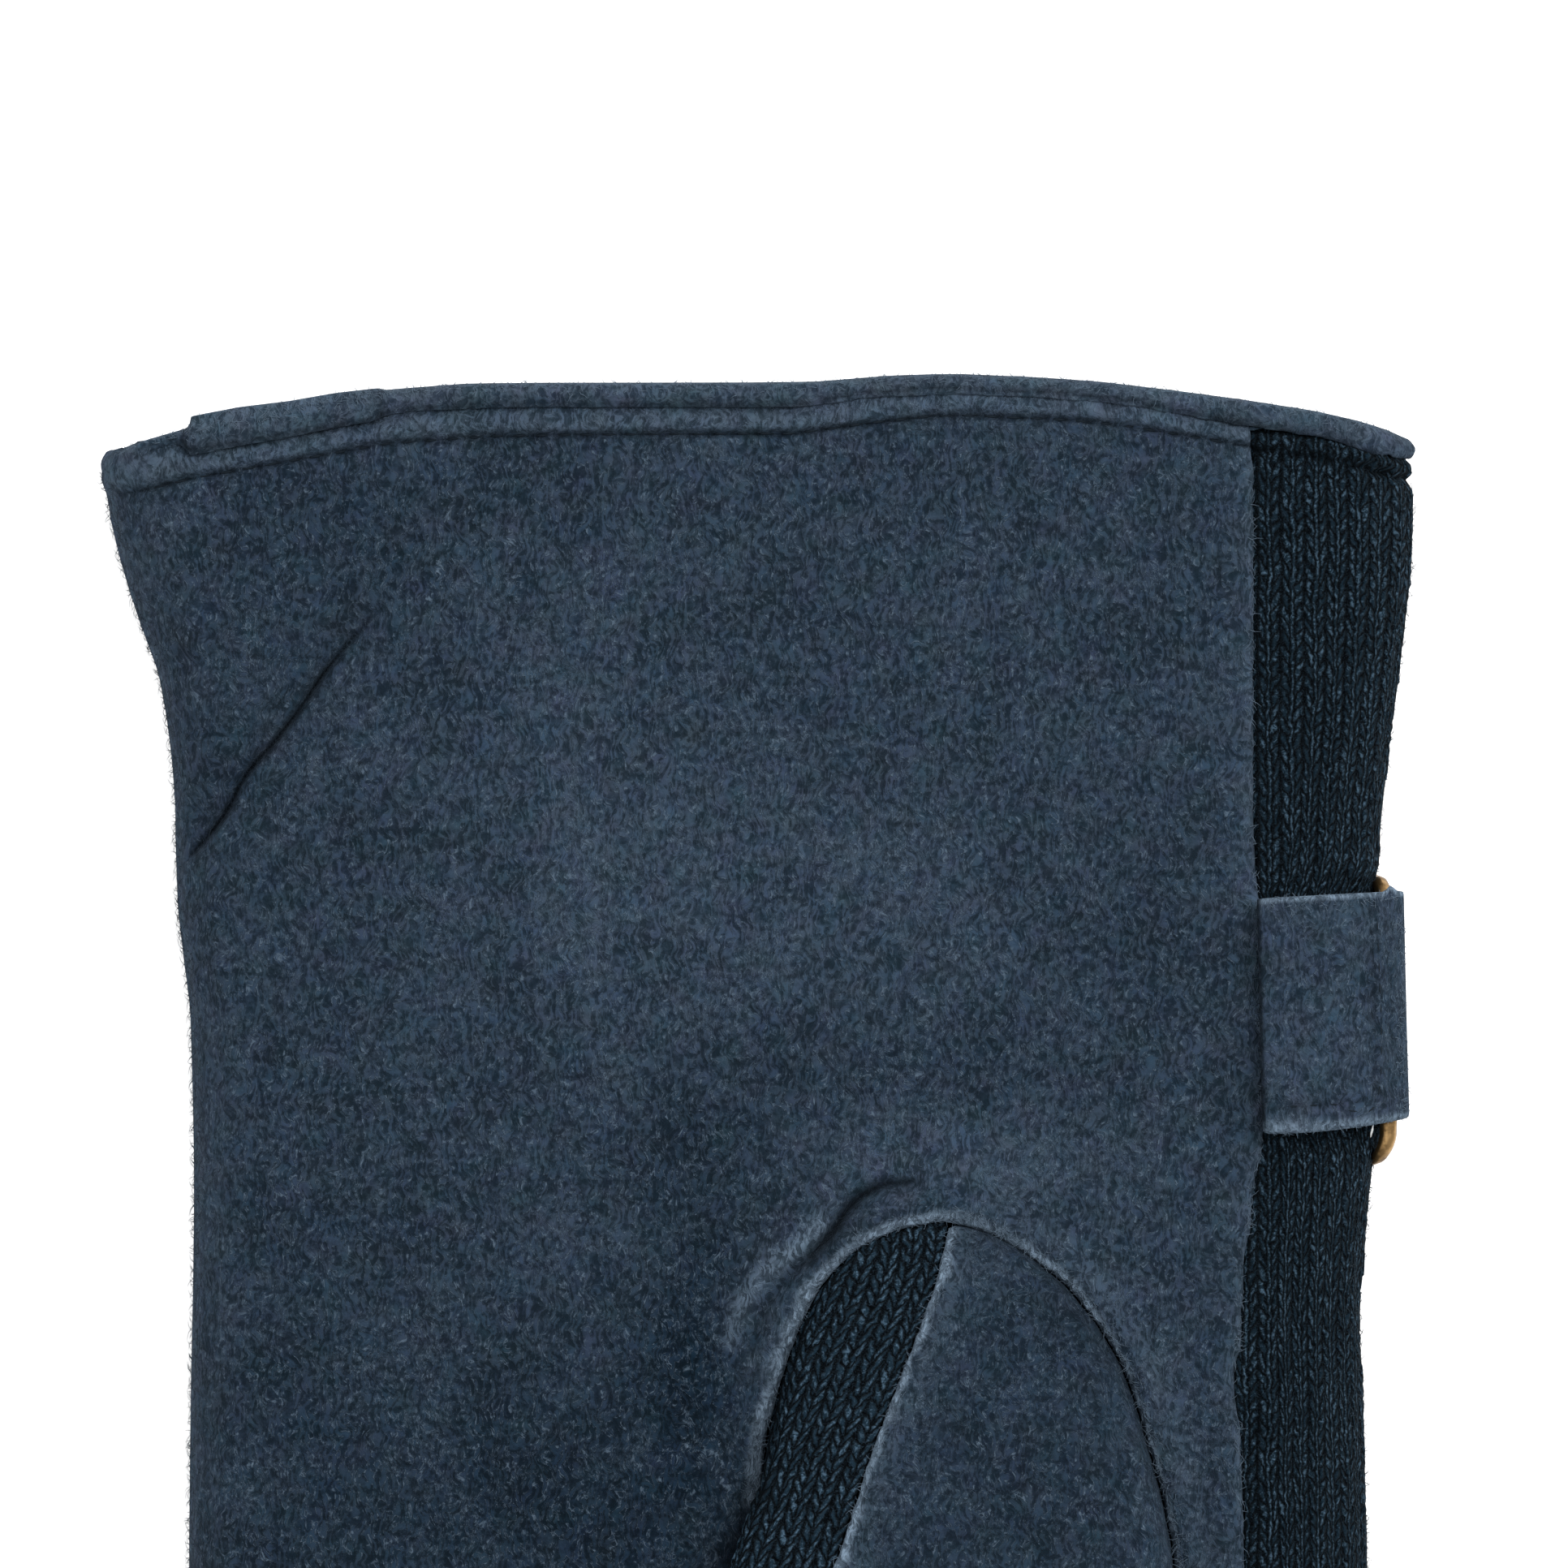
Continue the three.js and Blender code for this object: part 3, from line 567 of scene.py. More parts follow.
def stitch_height(u: np.ndarray, v: np.ndarray, rib: float) -> np.ndarray:
    """Measure the knit's stitches on its map in millimetres.

    Args:
        u: Places across the wales.
        v: Places along the wales.
        rib: How far a raised chain stands out along the middle of each wale, from 0 to 1.

    Returns:
        The height from 0 to 1.
    """
    middle = np.abs((u / WALE) % 1 - 0.5) * 2
    step = (v / COURSE + middle * SLANT) % 1
    wide = 1 - np.clip(np.abs((middle - 0.5 - 0.1 * rib) / (0.5 - 0.1 * rib)), 0, 1) ** 2.4
    tall = 1 - np.abs(2 * step - 1) ** 2
    chain = rib * (1 - np.clip(middle / 0.24, 0, 1) ** 2)
    return np.maximum(0.9 * wide * tall, chain * (0.7 + 0.3 * tall))


def stitch_group() -> bpy.types.NodeTree:
    """Build the knit: nested V stitches on a map whose u crosses the wales, in metres."""
    w, takes, outlet = shader_group(
        "knit_stitches", ("Map", "Place", "Wale", "Course", "Slant", "Rib"),
        ("Lobe", "Chain", "Furrow", "Chance", "Ply", "Fuzz", "Height"))
    place = takes["Place"]
    u, v, _ = w.parts(takes["Map"])
    lean_u, lean_v, _ = w.parts(w.drift(place, 1250, 2))
    across = w.plus(w.math("DIVIDE", u, takes["Wale"]), w.times(lean_u, 0.36))
    along = w.plus(w.math("DIVIDE", v, takes["Course"]), w.times(lean_v, 0.9))
    middle = w.times(w.size(w.minus(w.math("FRACT", across), 0.5)), 2.0)
    slid = w.plus(along, w.times(middle, takes["Slant"]))
    rib = w.times(takes["Rib"], 0.1)
    off = w.size(w.math("DIVIDE", w.minus(middle, w.plus(rib, 0.5)), w.minus(0.5, rib)))
    wide = w.minus(1.0, w.math("POWER", w.math("MINIMUM", off, 1.0), 2.4))
    chain = w.times(w.ease(middle, 0.0, 0.26, (1.0, 0.0)), takes["Rib"])
    swing = w.size(w.minus(w.times(w.math("FRACT", slid), 2.0), 1.0))
    tall = w.minus(1.0, w.math("POWER", swing, 2.0))
    raised = w.times(chain, w.plus(w.times(tall, 0.3), 0.7))
    lobe = w.math("MAXIMUM", w.times(w.times(wide, tall), 0.9), raised)
    chance = w.add("ShaderNodeTexWhiteNoise", noise_dimensions="2D")
    w.fix(chance, Vector=w.joined(w.math("FLOOR", w.times(across, 2.0)), w.math("FLOOR", slid)))
    ply = w.cloud(place, 3000, 3, 0.65, 0.8)
    strand = w.cloud(place, 2300, 2, 0.55, 1.5)
    fuzz = w.ease(w.size(w.minus(strand, 0.5)), 0.0, 0.03, (1.0, 0.0))
    w.fix(
        outlet, Lobe=lobe, Chain=raised, Furrow=w.ease(middle, 0.62, 1.0), Chance=chance.outputs[0],
        Ply=w.ease(ply, 0.36, 0.66), Fuzz=fuzz,
        Height=w.plus(lobe, w.plus(w.times(ply, 0.55), w.times(fuzz, 0.12))))
    return w.tree


NAP = nap_group()
STITCHES = stitch_group()


def new_material(name: str) -> tuple[bpy.types.Material, Wiring, bpy.types.Node]:
    """Start a material.

    Args:
        name: The material's name.

    Returns:
        The material, its wiring and its Principled shader, joined to the output.
    """
    material = bpy.data.materials.new(name)
    material.use_nodes = True
    w = Wiring(material.node_tree)
    shader = w.add("ShaderNodeBsdfPrincipled")
    w.fix(w.add("ShaderNodeOutputMaterial"), Surface=shader.outputs[0])
    return material, w, shader


# Finishes


@dataclass(frozen=True)
class SuedeFinish:
    """Napped suede with hairs brushed light and dark, darkened by painted shade and toned by painted light
    and shade where marked.
    """

    name: str
    dark: Colour = (0.0062, 0.0121, 0.0190)
    light: Colour = (0.0273, 0.0446, 0.0708)
    tip: Colour = (0.088, 0.125, 0.168)
    painted_shade_colour: Colour = (0.0010, 0.0020, 0.0034)
    raw: Colour = (0.175, 0.240, 0.315)
    nap_and_light_reach: Colour = (1.3, 1.08, 0.98)
    hair: float = 0.62
    depth: float = 0.0003
    sheen: float = 0.06

    def material(self) -> bpy.types.Material:
        """Return the suede's material."""
        material, w, shader = new_material(self.name)
        nap = w.group(NAP, Place=w.place(), Hair=self.hair)
        painted_shade, pale, brush = w.marks()
        tone = w.plus(nap["Shade"], w.ease(nap["Patch"], 0.34, 0.66, (-0.15, 0.15)))
        base = w.blend(w.ease(tone, 0.0, 1.0), self.dark, self.light)
        # Each channel is scaled by the nap tone mark: brushed nap together with painted light and shade.
        factor = w.joined(*(
            w.math("MAXIMUM", w.plus(w.times(brush, reach), 1.0), 0.05) for reach in self.nap_and_light_reach))
        brushed = w.vector("MULTIPLY", w.vector("MULTIPLY", base, factor), nap["Tint"])
        fuzzy = w.times(pale, w.ease(nap["Shade"], 0.22, 0.68, (0.3, 1.0)))
        edged = w.blend(fuzzy, brushed, self.raw)
        tipped = w.blend(w.plus(nap["Hair"], w.times(nap["Speck"], 0.5)), edged, self.tip)
        # Marked points are darkened towards a near-black painted shade colour.
        w.fix(shader, Base_Color=w.blend(painted_shade, tipped, self.painted_shade_colour), Roughness=0.95, Specular_IOR_Level=0.05,
              Sheen_Weight=self.sheen, Sheen_Roughness=0.5, Sheen_Tint=(0.45, 0.65, 0.9))
        w.bump(shader, nap["Height"], 0.9, self.depth)
        return material


@dataclass(frozen=True)
class KnitFinish:
    """Fuzzy stocking stitch in blue-black wool, with painted shade between the stitches, in the furrows and
    where marked.
    """

    name: str
    painted_gap_shade: Colour = (0.0004, 0.0010, 0.0018)
    yarn: Colour = (0.0060, 0.0150, 0.0242)
    bright: Colour = (0.060, 0.106, 0.154)
    rib: float = 1.0

    def material(self) -> bpy.types.Material:
        """Return the knit's material."""
        material, w, shader = new_material(self.name)
        weave = w.add("ShaderNodeUVMap", uv_map="weave").outputs[0]
        knit = w.group(STITCHES, Map=weave, Place=w.place(), Wale=WALE * MM, Course=COURSE * MM,
                       Slant=SLANT, Rib=self.rib)
        painted_shade, _, _ = w.marks()
        mixed = w.plus(w.times(knit["Ply"], 0.65), w.times(knit["Chance"], 0.3))
        mixed = w.plus(mixed, w.times(knit["Chain"], 0.1))
        yarn = w.blend(w.ease(mixed, 0.38, 0.98), self.yarn, self.bright)
        # Painted shade between the stitches' lobes, deepened in the furrows between wales.
        shown = w.blend(w.ease(knit["Lobe"], 0.15, 0.85), self.painted_gap_shade, yarn)
        furrow_shaded = w.blend(w.times(knit["Furrow"], 0.7), shown, self.painted_gap_shade)
        hazed = w.blend(w.times(knit["Fuzz"], 0.22), furrow_shaded, self.bright)
        w.fix(shader, Base_Color=w.blend(painted_shade, hazed, self.painted_gap_shade), Roughness=0.92, Specular_IOR_Level=0.03,
              Sheen_Weight=0.02, Sheen_Roughness=0.5, Sheen_Tint=(0.5, 0.7, 0.85))
        w.bump(shader, knit["Height"], 1.0, 0.0005)
        return material


@dataclass(frozen=True)
class BrassFinish:
    """Dulled brass wire, darker where it isn't rubbed."""

    name: str
    bright: Colour = (0.34, 0.215, 0.095)
    dull: Colour = (0.12, 0.070, 0.028)

    def material(self) -> bpy.types.Material:
        """Return the brass's material."""
        material, w, shader = new_material(self.name)
        cloud = w.cloud(w.place(), 700, 4, 0.6)
        w.fix(shader, Base_Color=w.blend(w.ease(cloud, 0.4, 0.62), self.dull, self.bright), Metallic=1.0,
              Roughness=w.ease(cloud, 0.35, 0.65, (0.55, 0.34)))
        w.bump(shader, w.cloud(w.place(), 5200, 2, 0.5, 0.5), 0.3, 0.00004)
        return material


@dataclass(frozen=True)
class ThreadFinish:
    """Twisted sewing thread or a loose fibre."""

    name: str
    colour: Colour = (0.012, 0.018, 0.028)
    lit: float = 1.9

    def material(self) -> bpy.types.Material:
        """Return the thread's material."""
        material, w, shader = new_material(self.name)
        ply = w.cloud(w.place(), 6500, 2, 0.5, 0.8)
        tint = tuple(min(1.0, self.lit * part) for part in self.colour)
        w.fix(shader, Base_Color=w.blend(ply, self.colour, tint), Roughness=0.8, Specular_IOR_Level=0.15)
        w.bump(shader, ply, 0.6, 0.00006)
        return material


SUEDE = SuedeFinish("palm_suede")
THUMB_SUEDE = SuedeFinish("thumb_suede", light=(0.0200, 0.0348, 0.0564), dark=(0.0052, 0.0104, 0.0171))
HEM_SUEDE = SuedeFinish("hem_suede", light=(0.050, 0.074, 0.106), dark=(0.012, 0.021, 0.033))
KNIT = KnitFinish("wool_knit")
THUMB_KNIT = KnitFinish("thumb_wool", rib=0.0, yarn=(0.0098, 0.0238, 0.0385), bright=(0.078, 0.138, 0.202))
BRASS = BrassFinish("ring_brass")
FIBRE = ThreadFinish("suede_fibre", colour=(0.058, 0.082, 0.110))
DARK_FIBRE = ThreadFinish("outline_fibre", colour=(0.012, 0.020, 0.030))
WOOL_FIBRE = ThreadFinish("wool_fibre", colour=(0.012, 0.020, 0.027))
DARK_THREAD = ThreadFinish("dark_thread", colour=(0.0030, 0.0062, 0.0100))
PALE_THREAD = ThreadFinish("pale_thread", colour=(0.32, 0.33, 0.33))


# Pieces


def place_piece(piece: bpy.types.Object, slot: Slot, material: bpy.types.Material, *nodes: str) -> None:
    """Give a piece its material, its body and the nodes that it stands for.

    Args:
        piece: The finished piece.
        slot: The record's slot; not used.
        material: Its material.
        *nodes: CAD nodes that it replaces.
    """
    piece.data.materials.clear()
    piece.data.materials.append(material)
    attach(piece, "root")
    if nodes:
        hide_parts(*nodes)
    triangles = sum(len(face.vertices) - 2 for face in piece.data.polygons)
    LOG.info("%s: %d triangles", piece.name, triangles)


def in_scene(name: str, data: bpy.types.ID) -> bpy.types.Object:
    """Return a new object in the scene that holds the data."""
    piece = bpy.data.objects.new(name, data)
    bpy.context.scene.collection.objects.link(piece)
    return piece


def final_mesh(piece: bpy.types.Object) -> bpy.types.Mesh:
    """Return a new mesh of a piece as its modifiers or its bevel leave it."""
    graph = bpy.context.evaluated_depsgraph_get()
    return bpy.data.meshes.new_from_object(piece.evaluated_get(graph))


def shade_smooth(piece: bpy.types.Object) -> None:
    """Let a piece's faces shade smoothly into each other."""
    for face in piece.data.polygons:
        face.use_smooth = True


def baked(piece: bpy.types.Object) -> None:
    """Apply a piece's modifiers to its mesh."""
    mesh, old = final_mesh(piece), piece.data
    piece.modifiers.clear()
    piece.data = mesh
    bpy.data.meshes.remove(old)


def linked(name: str, bm: bmesh.types.BMesh) -> bpy.types.Object:
    """Turn a bmesh into an object in the scene.

    Args:
        name: The object's name.
        bm: The bmesh, which is freed.

    Returns:
        The new object.
    """
    mesh = bpy.data.meshes.new(name)
    bm.to_mesh(mesh)
    bm.free()
    return in_scene(name, mesh)


def solid_copy(node: str) -> bmesh.types.BMesh:
    """Copy a CAD solid.

    Args:
        node: The solid's node.

    Returns:
        A bmesh with its doubles merged.
    """
    bm = bmesh.new()
    bm.from_mesh(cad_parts[node].data)
    bmesh.ops.remove_doubles(bm, verts=bm.verts, dist=1e-6)
    return bm


def surface_of(piece: bpy.types.Object) -> BVHTree:
    """Make a piece's surface ready for rays.

    Args:
        piece: The piece.

    Returns:
        A tree for finding heights on it.
    """
    bm = bmesh.new()
    bm.from_mesh(piece.data)
    tree = BVHTree.FromBMesh(bm)
    bm.free()
    return tree


def height_on(tree: BVHTree, x: float, depth: float, fallback: float) -> float:
    """Find the top of a surface.

    Args:
        tree: The surface.
        x: Place across, in millimetres.
        depth: Place down the glove, in millimetres.
        fallback: Height returned where nothing lies under the place.

    Returns:
        The height in millimetres.
    """
    place, _, _, _ = tree.ray_cast(Vector((x * MM, (CUFF_Y - depth) * MM, ABOVE)), Vector((0, 0, -1)))
    return fallback if place is None else place.z / MM


Test = Callable[[np.ndarray], np.ndarray]
Zone = tuple[Test, int]


def along_line(line: Line, reach: float, floor: float = PALM_TOP - 1.5) -> Test:
    """Return a test for places above the floor height within reach of a line."""
    def test(places: np.ndarray) -> np.ndarray:
        """Return which places lie in the zone."""
        away, _, _ = line.nearest(places[:, 0], CUFF_Y - places[:, 1], reach + 1)
        return (away < reach) & (places[:, 2] > floor)
    return test


@dataclass
class SoftWall:
    """A suede or knit wall made from its CAD solid: evened out, smoothed, creased and mapped."""

    name: str
    node: str
    cell: float
    slot: Slot
    finish: Union[SuedeFinish, KnitFinish]
    easing: int = 4
    piece: bpy.types.Object = field(init=False)

    def build(self) -> bpy.types.Object:
        """Build the wall and dress it.

        Returns:
            The finished piece.
        """
        self.copy_solid()
        self.refine()
        self.shape()
        self.map_weave()
        shade_smooth(self.piece)
        place_piece(self.piece, self.slot, self.finish.material(), self.node)
        return self.piece

    def copy_solid(self) -> None:
        """Copy the CAD solid into one even, eased mesh of small faces."""
        bm = solid_copy(self.node)
        for layer in list(bm.loops.layers.uv.values()):
            bm.loops.layers.uv.remove(layer)
        self.piece = linked(self.name, bm)
        even = self.piece.modifiers.new("even", "REMESH")
        even.mode = "VOXEL"
        even.voxel_size = self.cell * MM
        ease = self.piece.modifiers.new("ease", "SMOOTH")
        ease.factor = 0.5
        ease.iterations = self.easing
        baked(self.piece)

    def zones(self) -> list[Zone]:
        """Return the zones that need small faces, each with its number of halvings."""
        return []

    def refine(self) -> None:
        """Halve the faces that lie in the piece's zones."""
        for test, halvings in self.zones():
            for _ in range(halvings):
                bm = bmesh.new()
                bm.from_mesh(self.piece.data)
                middles = np.array([face.calc_center_median() for face in bm.faces]) / MM
                near = [face for face, inside in zip(bm.faces, test(middles)) if inside]
                edges = {edge for face in near for edge in face.edges}
                bmesh.ops.subdivide_edges(bm, edges=list(edges), cuts=1, use_grid_fill=True)
                bm.to_mesh(self.piece.data)
                bm.free()

    def read(self, what: str) -> np.ndarray:
        """Return a property of the piece's points, one row a point."""
        flat = np.zeros(len(self.piece.data.vertices) * 3, np.float32)
        self.piece.data.vertices.foreach_get(what, flat)
        return flat.reshape(-1, 3).astype(float)

    def places(self) -> np.ndarray:
        """Return the piece's points in millimetres."""
        return self.read("co") / MM

    def normals(self) -> np.ndarray:
        """Return the piece's normals at its points."""
        return self.read("normal")

    def move_to(self, places: np.ndarray) -> None:
        """Move the piece's points to places in millimetres."""
        self.piece.data.vertices.foreach_set("co", (places * MM).astype(np.float32).ravel())
        self.piece.data.update()

    def mark(self, painted_shade: Amount = 0.0, pale: Amount = 0.0, brush: Amount = 0.0) -> None:
        """Store each point's painted shade, its share of worn pale fibre, and its nap tone with painted light
        and shade.

        Args:
            painted_shade: Painted shade, darkening from 0 to 1.
            pale: Share of raw pale fibre from 0 to 1.
            brush: Lightening or darkening of the nap together with painted light and shade, as a share.
        """
        count = len(self.piece.data.vertices)
        columns = [
            np.broadcast_to(np.clip(value, low, 1), (count,))
            for value, low in ((painted_shade, 0), (pale, 0), (brush, -0.9))]
        layer = self.piece.data.attributes.new("marks", "FLOAT_VECTOR", "POINT")
        layer.data.foreach_set("vector", np.stack(columns, axis=1).astype(np.float32).ravel())

    def shape(self) -> None:
        """Press the piece's folds and ridges into it."""
        self.mark()

    def weave(self, places: np.ndarray) -> np.ndarray:
        """Return the map that the stitches follow, in millimetres, for each point."""
        return places[:, :2]

    def swayed(self, spread: np.ndarray, places: np.ndarray) -> np.ndarray:
        """Let the wales and courses of a map wander a little, as they do in real knitting.

        Args:
            spread: The map.
            places: The piece's points.

        Returns:
            The map that wanders.
        """
        x, depth, z = split(places)
        x += 0.4 * z
        sway = np.stack([0.12 * rolling(x, depth, 6, 21), 0.4 * rolling(x, depth, 5, 22)], axis=1)
        return spread + sway

    def raise_loops(self, p: np.ndarray, loop: float, rib: float, shown: np.ndarray) -> None:
        """Raise the stitches along the normals.

        Args:
            p: Places that move.
            loop: Height of a stitch.
            rib: How far the chains stand out.
            shown: Share of the height at each place.
        """
        u, v = self.weave(p).T
        p += self.normals() * (loop * (stitch_height(u, v, rib) - 0.4) * shown)[:, None]

    def map_weave(self) -> None:
        """Store the stitches' map on the piece."""
        mesh = self.piece.data
        spread = self.weave(self.places()) * MM
        corners = np.zeros(len(mesh.loops), np.int64)
        mesh.loops.foreach_get("vertex_index", corners)
        layer = mesh.uv_layers.new(name="weave")
        layer.data.foreach_set("uv", spread[corners].astype(np.float32).ravel())


def hem_nub(x: np.ndarray, below: np.ndarray, reach: float = 0.7) -> np.ndarray:
    """Return how far the hem bulges out at the end of the cuff away from the thumb."""
    return reach * smoothstep(-44, -50, x) * hump(below, 2.6, 1.25)


@dataclass
class Relief:
    """What the folds of a piece add up to: a rise in millimetres and its marks of painted shade, pale fibre,
    and nap tone with painted light and shade.
    """

    count: int
    rise: np.ndarray = field(init=False)
    painted_shade: np.ndarray = field(init=False)
    pale: np.ndarray = field(init=False)
    brush: np.ndarray = field(init=False)

    def __post_init__(self) -> None:
        """Start level and unmarked."""
        self.rise, self.painted_shade, self.pale, self.brush = (np.zeros(self.count) for _ in range(4))


@dataclass
class PalmPanel(SoftWall):
    """The suede palm with its hem, crossing fold and the roll round the thumb hole."""

    hem_puff: float = 0.45
    hem_groove: float = 0.5
    tick_pitch: float = 1.33
    fold_depth: float = 0.75
    sway: float = 0.22
    overlap: float = 0.32
    hole_overlap: float = 0.28
    lower_lap: float = 0.55
    tab_span: Place = (41.5, 60.25)
    rim_width: Profile = Profile((
        (0, 0.75), (0.19, 0.8), (0.24, 0.42), (0.36, 0.5), (0.41, 0.5), (0.5, 0.42), (0.6, 0.27), (1, 0.22)))
    rim_share: Profile = Profile((
        (0, 0.75), (0.12, 0.85), (0.2, 1), (0.25, 0.85), (0.35, 0.95), (0.38, 0.6), (0.42, 0.45),
        (0.45, 0.9), (0.53, 0.9), (0.6, 0.6), (1, 0.5)))

    def zones(self) -> list[Zone]:
        """Return the hem, the fold, the side seam and the surroundings of the thumb hole."""
        return [
            (along_line(HAND.hem_line(HAND.hem_edge, -52, 40), 1.0), 2),
            (along_line(CROSSING_FOLD, 1.4, 7.5), 2),
            (along_line(ARCH_CREASE, 1.4), 1),
            (along_line(ARCH_EDGE, 1.9), 2),
            (along_line(HAND.seam_line(range(4, 104, 5)), 0.9), 1),
        ]

    def shape(self) -> None:
        """Press the hem's grooves, the folds and the roll round the thumb hole."""
        p = self.places()
        x, depth, z = split(p)
        upper = smoothstep(*UPPER_FACE, z)
        below = HAND.below_mouth(x, depth)
        seam = HAND.side_seam.at(depth) - x
        relief = Relief(len(x))
        relief.rise += self.sway * rolling(x, depth, 13, 4) * smoothstep(6, 12, depth)
        self.press_hem(relief, x, below)
        relief.brush += sum(mark.at(x, depth) for mark in NAP_AND_LIGHT_MARKS)
        self.press_fold(relief, x, depth)
        self.press_crease(relief, x, depth)
        edge = self.raise_rim(relief, x, depth)
        relief.pale += 0.3 * hump(seam, 0, 0.5) * upper
        start, stop = self.tab_span
        beside_tab = smoothstep(start - 1, start + 1, depth) * fading(stop - 1.25, stop + 1.25, depth)
        # Nap lighter along the side seam, and painted light beside the tab where the tab's shadow falls.
        relief.brush += (0.22 * (depth > 6) + 0.4 * beside_tab) * hump(seam, 0.6, 1.1)
        cut_face = (np.abs(seam) < 0.7) & (self.normals()[:, 0] > 0.45) & (z > 5) & (depth > 104)
        p[:, 0] += np.where(cut_face, seam - 0.15, 0)
        ragged = self.overlap + 0.07 * rolling(x * 0, depth, 1.6, 8)
        p[:, 0] += fading(0.1, 1.5, np.abs(seam)) * (z > 5) * ragged - hem_nub(x, below)
        self.draw_hole_in(p, x, depth, self.hole_overlap * fading(0.1, 1.0, edge) * (z > 9))
        lift = 0.15 + 0.9 * np.clip(2.45 - HAND.binding_edge.at(x), 0, 1.2)
        p[:, 1] += lift * fading(1.9, 3.4, below) * (z > 5)
        p[:, 2] = z + upper * relief.rise - self.lower_lap * fading(3.9, 5, z)
        self.move_to(p)
        self.mark(relief.painted_shade * upper, relief.pale * upper, relief.brush)

    def press_hem(self, relief: Relief, x: np.ndarray, below: np.ndarray) -> None:
        """Puff the hem up between the binding's stitches and its own, with painted shade in its grooves and
        stitch ticks and a painted highlight on the puff.

        Args:
            relief: What the folds add up to.
            x: Places across.
            below: Distances below the mouth's edge.
        """
        low, high = HAND.hem_edge.at(x), HAND.binding_edge.at(x)
        middle, half = (low + high) / 2, (low - high) / 2
        puff = np.clip(1 - ((below - middle) / half) ** 2, 0, 1)
        relief.rise += self.hem_puff * puff
        nick = 0.5 + 0.5 * ripple(x, STITCH_PITCH)
        cut = hump(below, low, 0.24)
        upper_cut = hump(below - high, -0.1, 0.28)
        relief.rise -= self.hem_groove * cut * (0.7 + 0.3 * nick) + 0.22 * upper_cut
        # Painted shade in the grooves.
        relief.painted_shade += (0.45 + 0.4 * nick) * cut + 0.4 * upper_cut
        uneven = 0.6 * rolling(x, x * 0, 9, 15)
        tick = np.clip(np.cos(x * math.tau / self.tick_pitch + uneven), 0, 1) ** 5
        tick *= hump(below - high, 0.35, 0.4) * (0.55 + 0.45 * smoothstep(8, 13, x) * (x < 30))
        relief.rise -= 0.16 * tick
        # Painted shade in the stitch ticks.
        relief.painted_shade += 0.55 * tick
        # Painted highlight: the puff is painted paler and lighter along its crest.
        relief.pale += 0.13 * puff
        relief.brush += 0.3 * puff

    def press_fold(self, relief: Relief, x: np.ndarray, depth: np.ndarray) -> None:
        """Press the fold that crosses the edge away from the thumb, with painted shade in it and on its
        upper-left side.

        Args:
            relief: What the folds add up to.
            x: Places across the glove.
            depth: Places down the glove.
        """
        away, side, share = CROSSING_FOLD.nearest(x, depth)
        fade = smoothstep(0, 0.25, share) * (0.35 + 0.65 * smoothstep(0.1, 0.4, share))
        sharp = hump(away, 0, 0.3) * fade
        shaded = hump(away, 0, 2.4) * np.where(side < 0, 1.0, 0.25) * smoothstep(0, 0.2, share)
        relief.rise += -self.fold_depth * sharp - 0.3 * shaded * (side < 0)
        relief.rise += 0.3 * hump(away, 1.8, 1.5) * (side > 0) * fade
        # Painted shade in the fold and beside it.
        relief.painted_shade += 0.85 * sharp + 0.2 * shaded

    def press_crease(self, relief: Relief, x: np.ndarray, depth: np.ndarray) -> None:
        """Press the crease over the thumb hole with painted shade in it, and raise the shelf beside it with a
        painted highlight on it.

        Args:
            relief: What the folds add up to.
            x: Places across the glove.
            depth: Places down the glove.
        """
        away, side, share = ARCH_CREASE.nearest(x, depth)
        head = fading(0.42, 0.6, share)
        dent = hump(away, 0, 0.46) * smoothstep(0, 0.12, share) * fading(0.85, 1, share)
        relief.rise -= (0.3 + 0.45 * head) * dent
        # Painted shade in the crease and on its outer side.
        relief.painted_shade += (0.35 + 0.5 * head) * dent
        relief.painted_shade += 0.42 * hump(away, 0, 1.1) * smoothstep(0.1, 0.3, share) * head * (side > 0)
        shelf, _, along_shelf = ARCH_SHELF.nearest(x, depth)
        lifted = hump(shelf, 0, 0.75) * (1 - 0.5 * along_shelf)
        relief.rise += 0.3 * lifted
        # Painted highlight: the raised shelf is painted pale.
        relief.pale += 0.5 * lifted

    def raise_rim(self, relief: Relief, x: np.ndarray, depth: np.ndarray) -> np.ndarray:
        """Raise the raw rim of the thumb hole and shade the palm under the thumb.

        Args:
            relief: What the folds add up to.
            x: Places across.
            depth: Places down the glove.

        Returns:
            The distance from the rim.
        """
        edge, _, along = ARCH_EDGE.nearest(x, depth)
        left = fading(0.36, 0.5, along)
        wide = self.rim_width.at(along) * (1 + 0.22 * rolling(x, depth, 1.5, 11))
        relief.pale += hump(edge, 0.1, wide, 4) * self.rim_share.at(along)
        relief.pale += 0.08 * hump(edge, 1.7, 1.1) * (1 - left)
        relief.rise += 0.4 * hump(edge, 1.5, 1.2) * (0.3 + 0.7 * left)
        shadow = THUMB_LEFT.at(depth) - x
        near_thumb = smoothstep(84, 95, depth) * fading(98, 112, depth) * (shadow > -1)
        relief.painted_shade += 0.8 * np.exp(-np.clip(shadow - 0.4, 0, None) / 0.9) * near_thumb
        return edge

    def draw_hole_in(self, p: np.ndarray, x: np.ndarray, depth: np.ndarray, inward: np.ndarray) -> None:
        """Draw the thumb hole's rim in over the thumb.

        Args:
            p: Places that move.
            x: Where they were across.
            depth: Where they were down the glove.
            inward: How far each place moves, before the rim's head is drawn in further.
        """
        inward = inward * (1 + 0.7 * hump(x, 19, 4) * (depth < 74))
        to_x, to_depth = 16 - x, np.maximum(92 - depth, 0)
        size = np.hypot(to_x, to_depth) + 1e-6
        p[:, 0] += inward * to_x / size
        p[:, 1] -= inward * to_depth / size


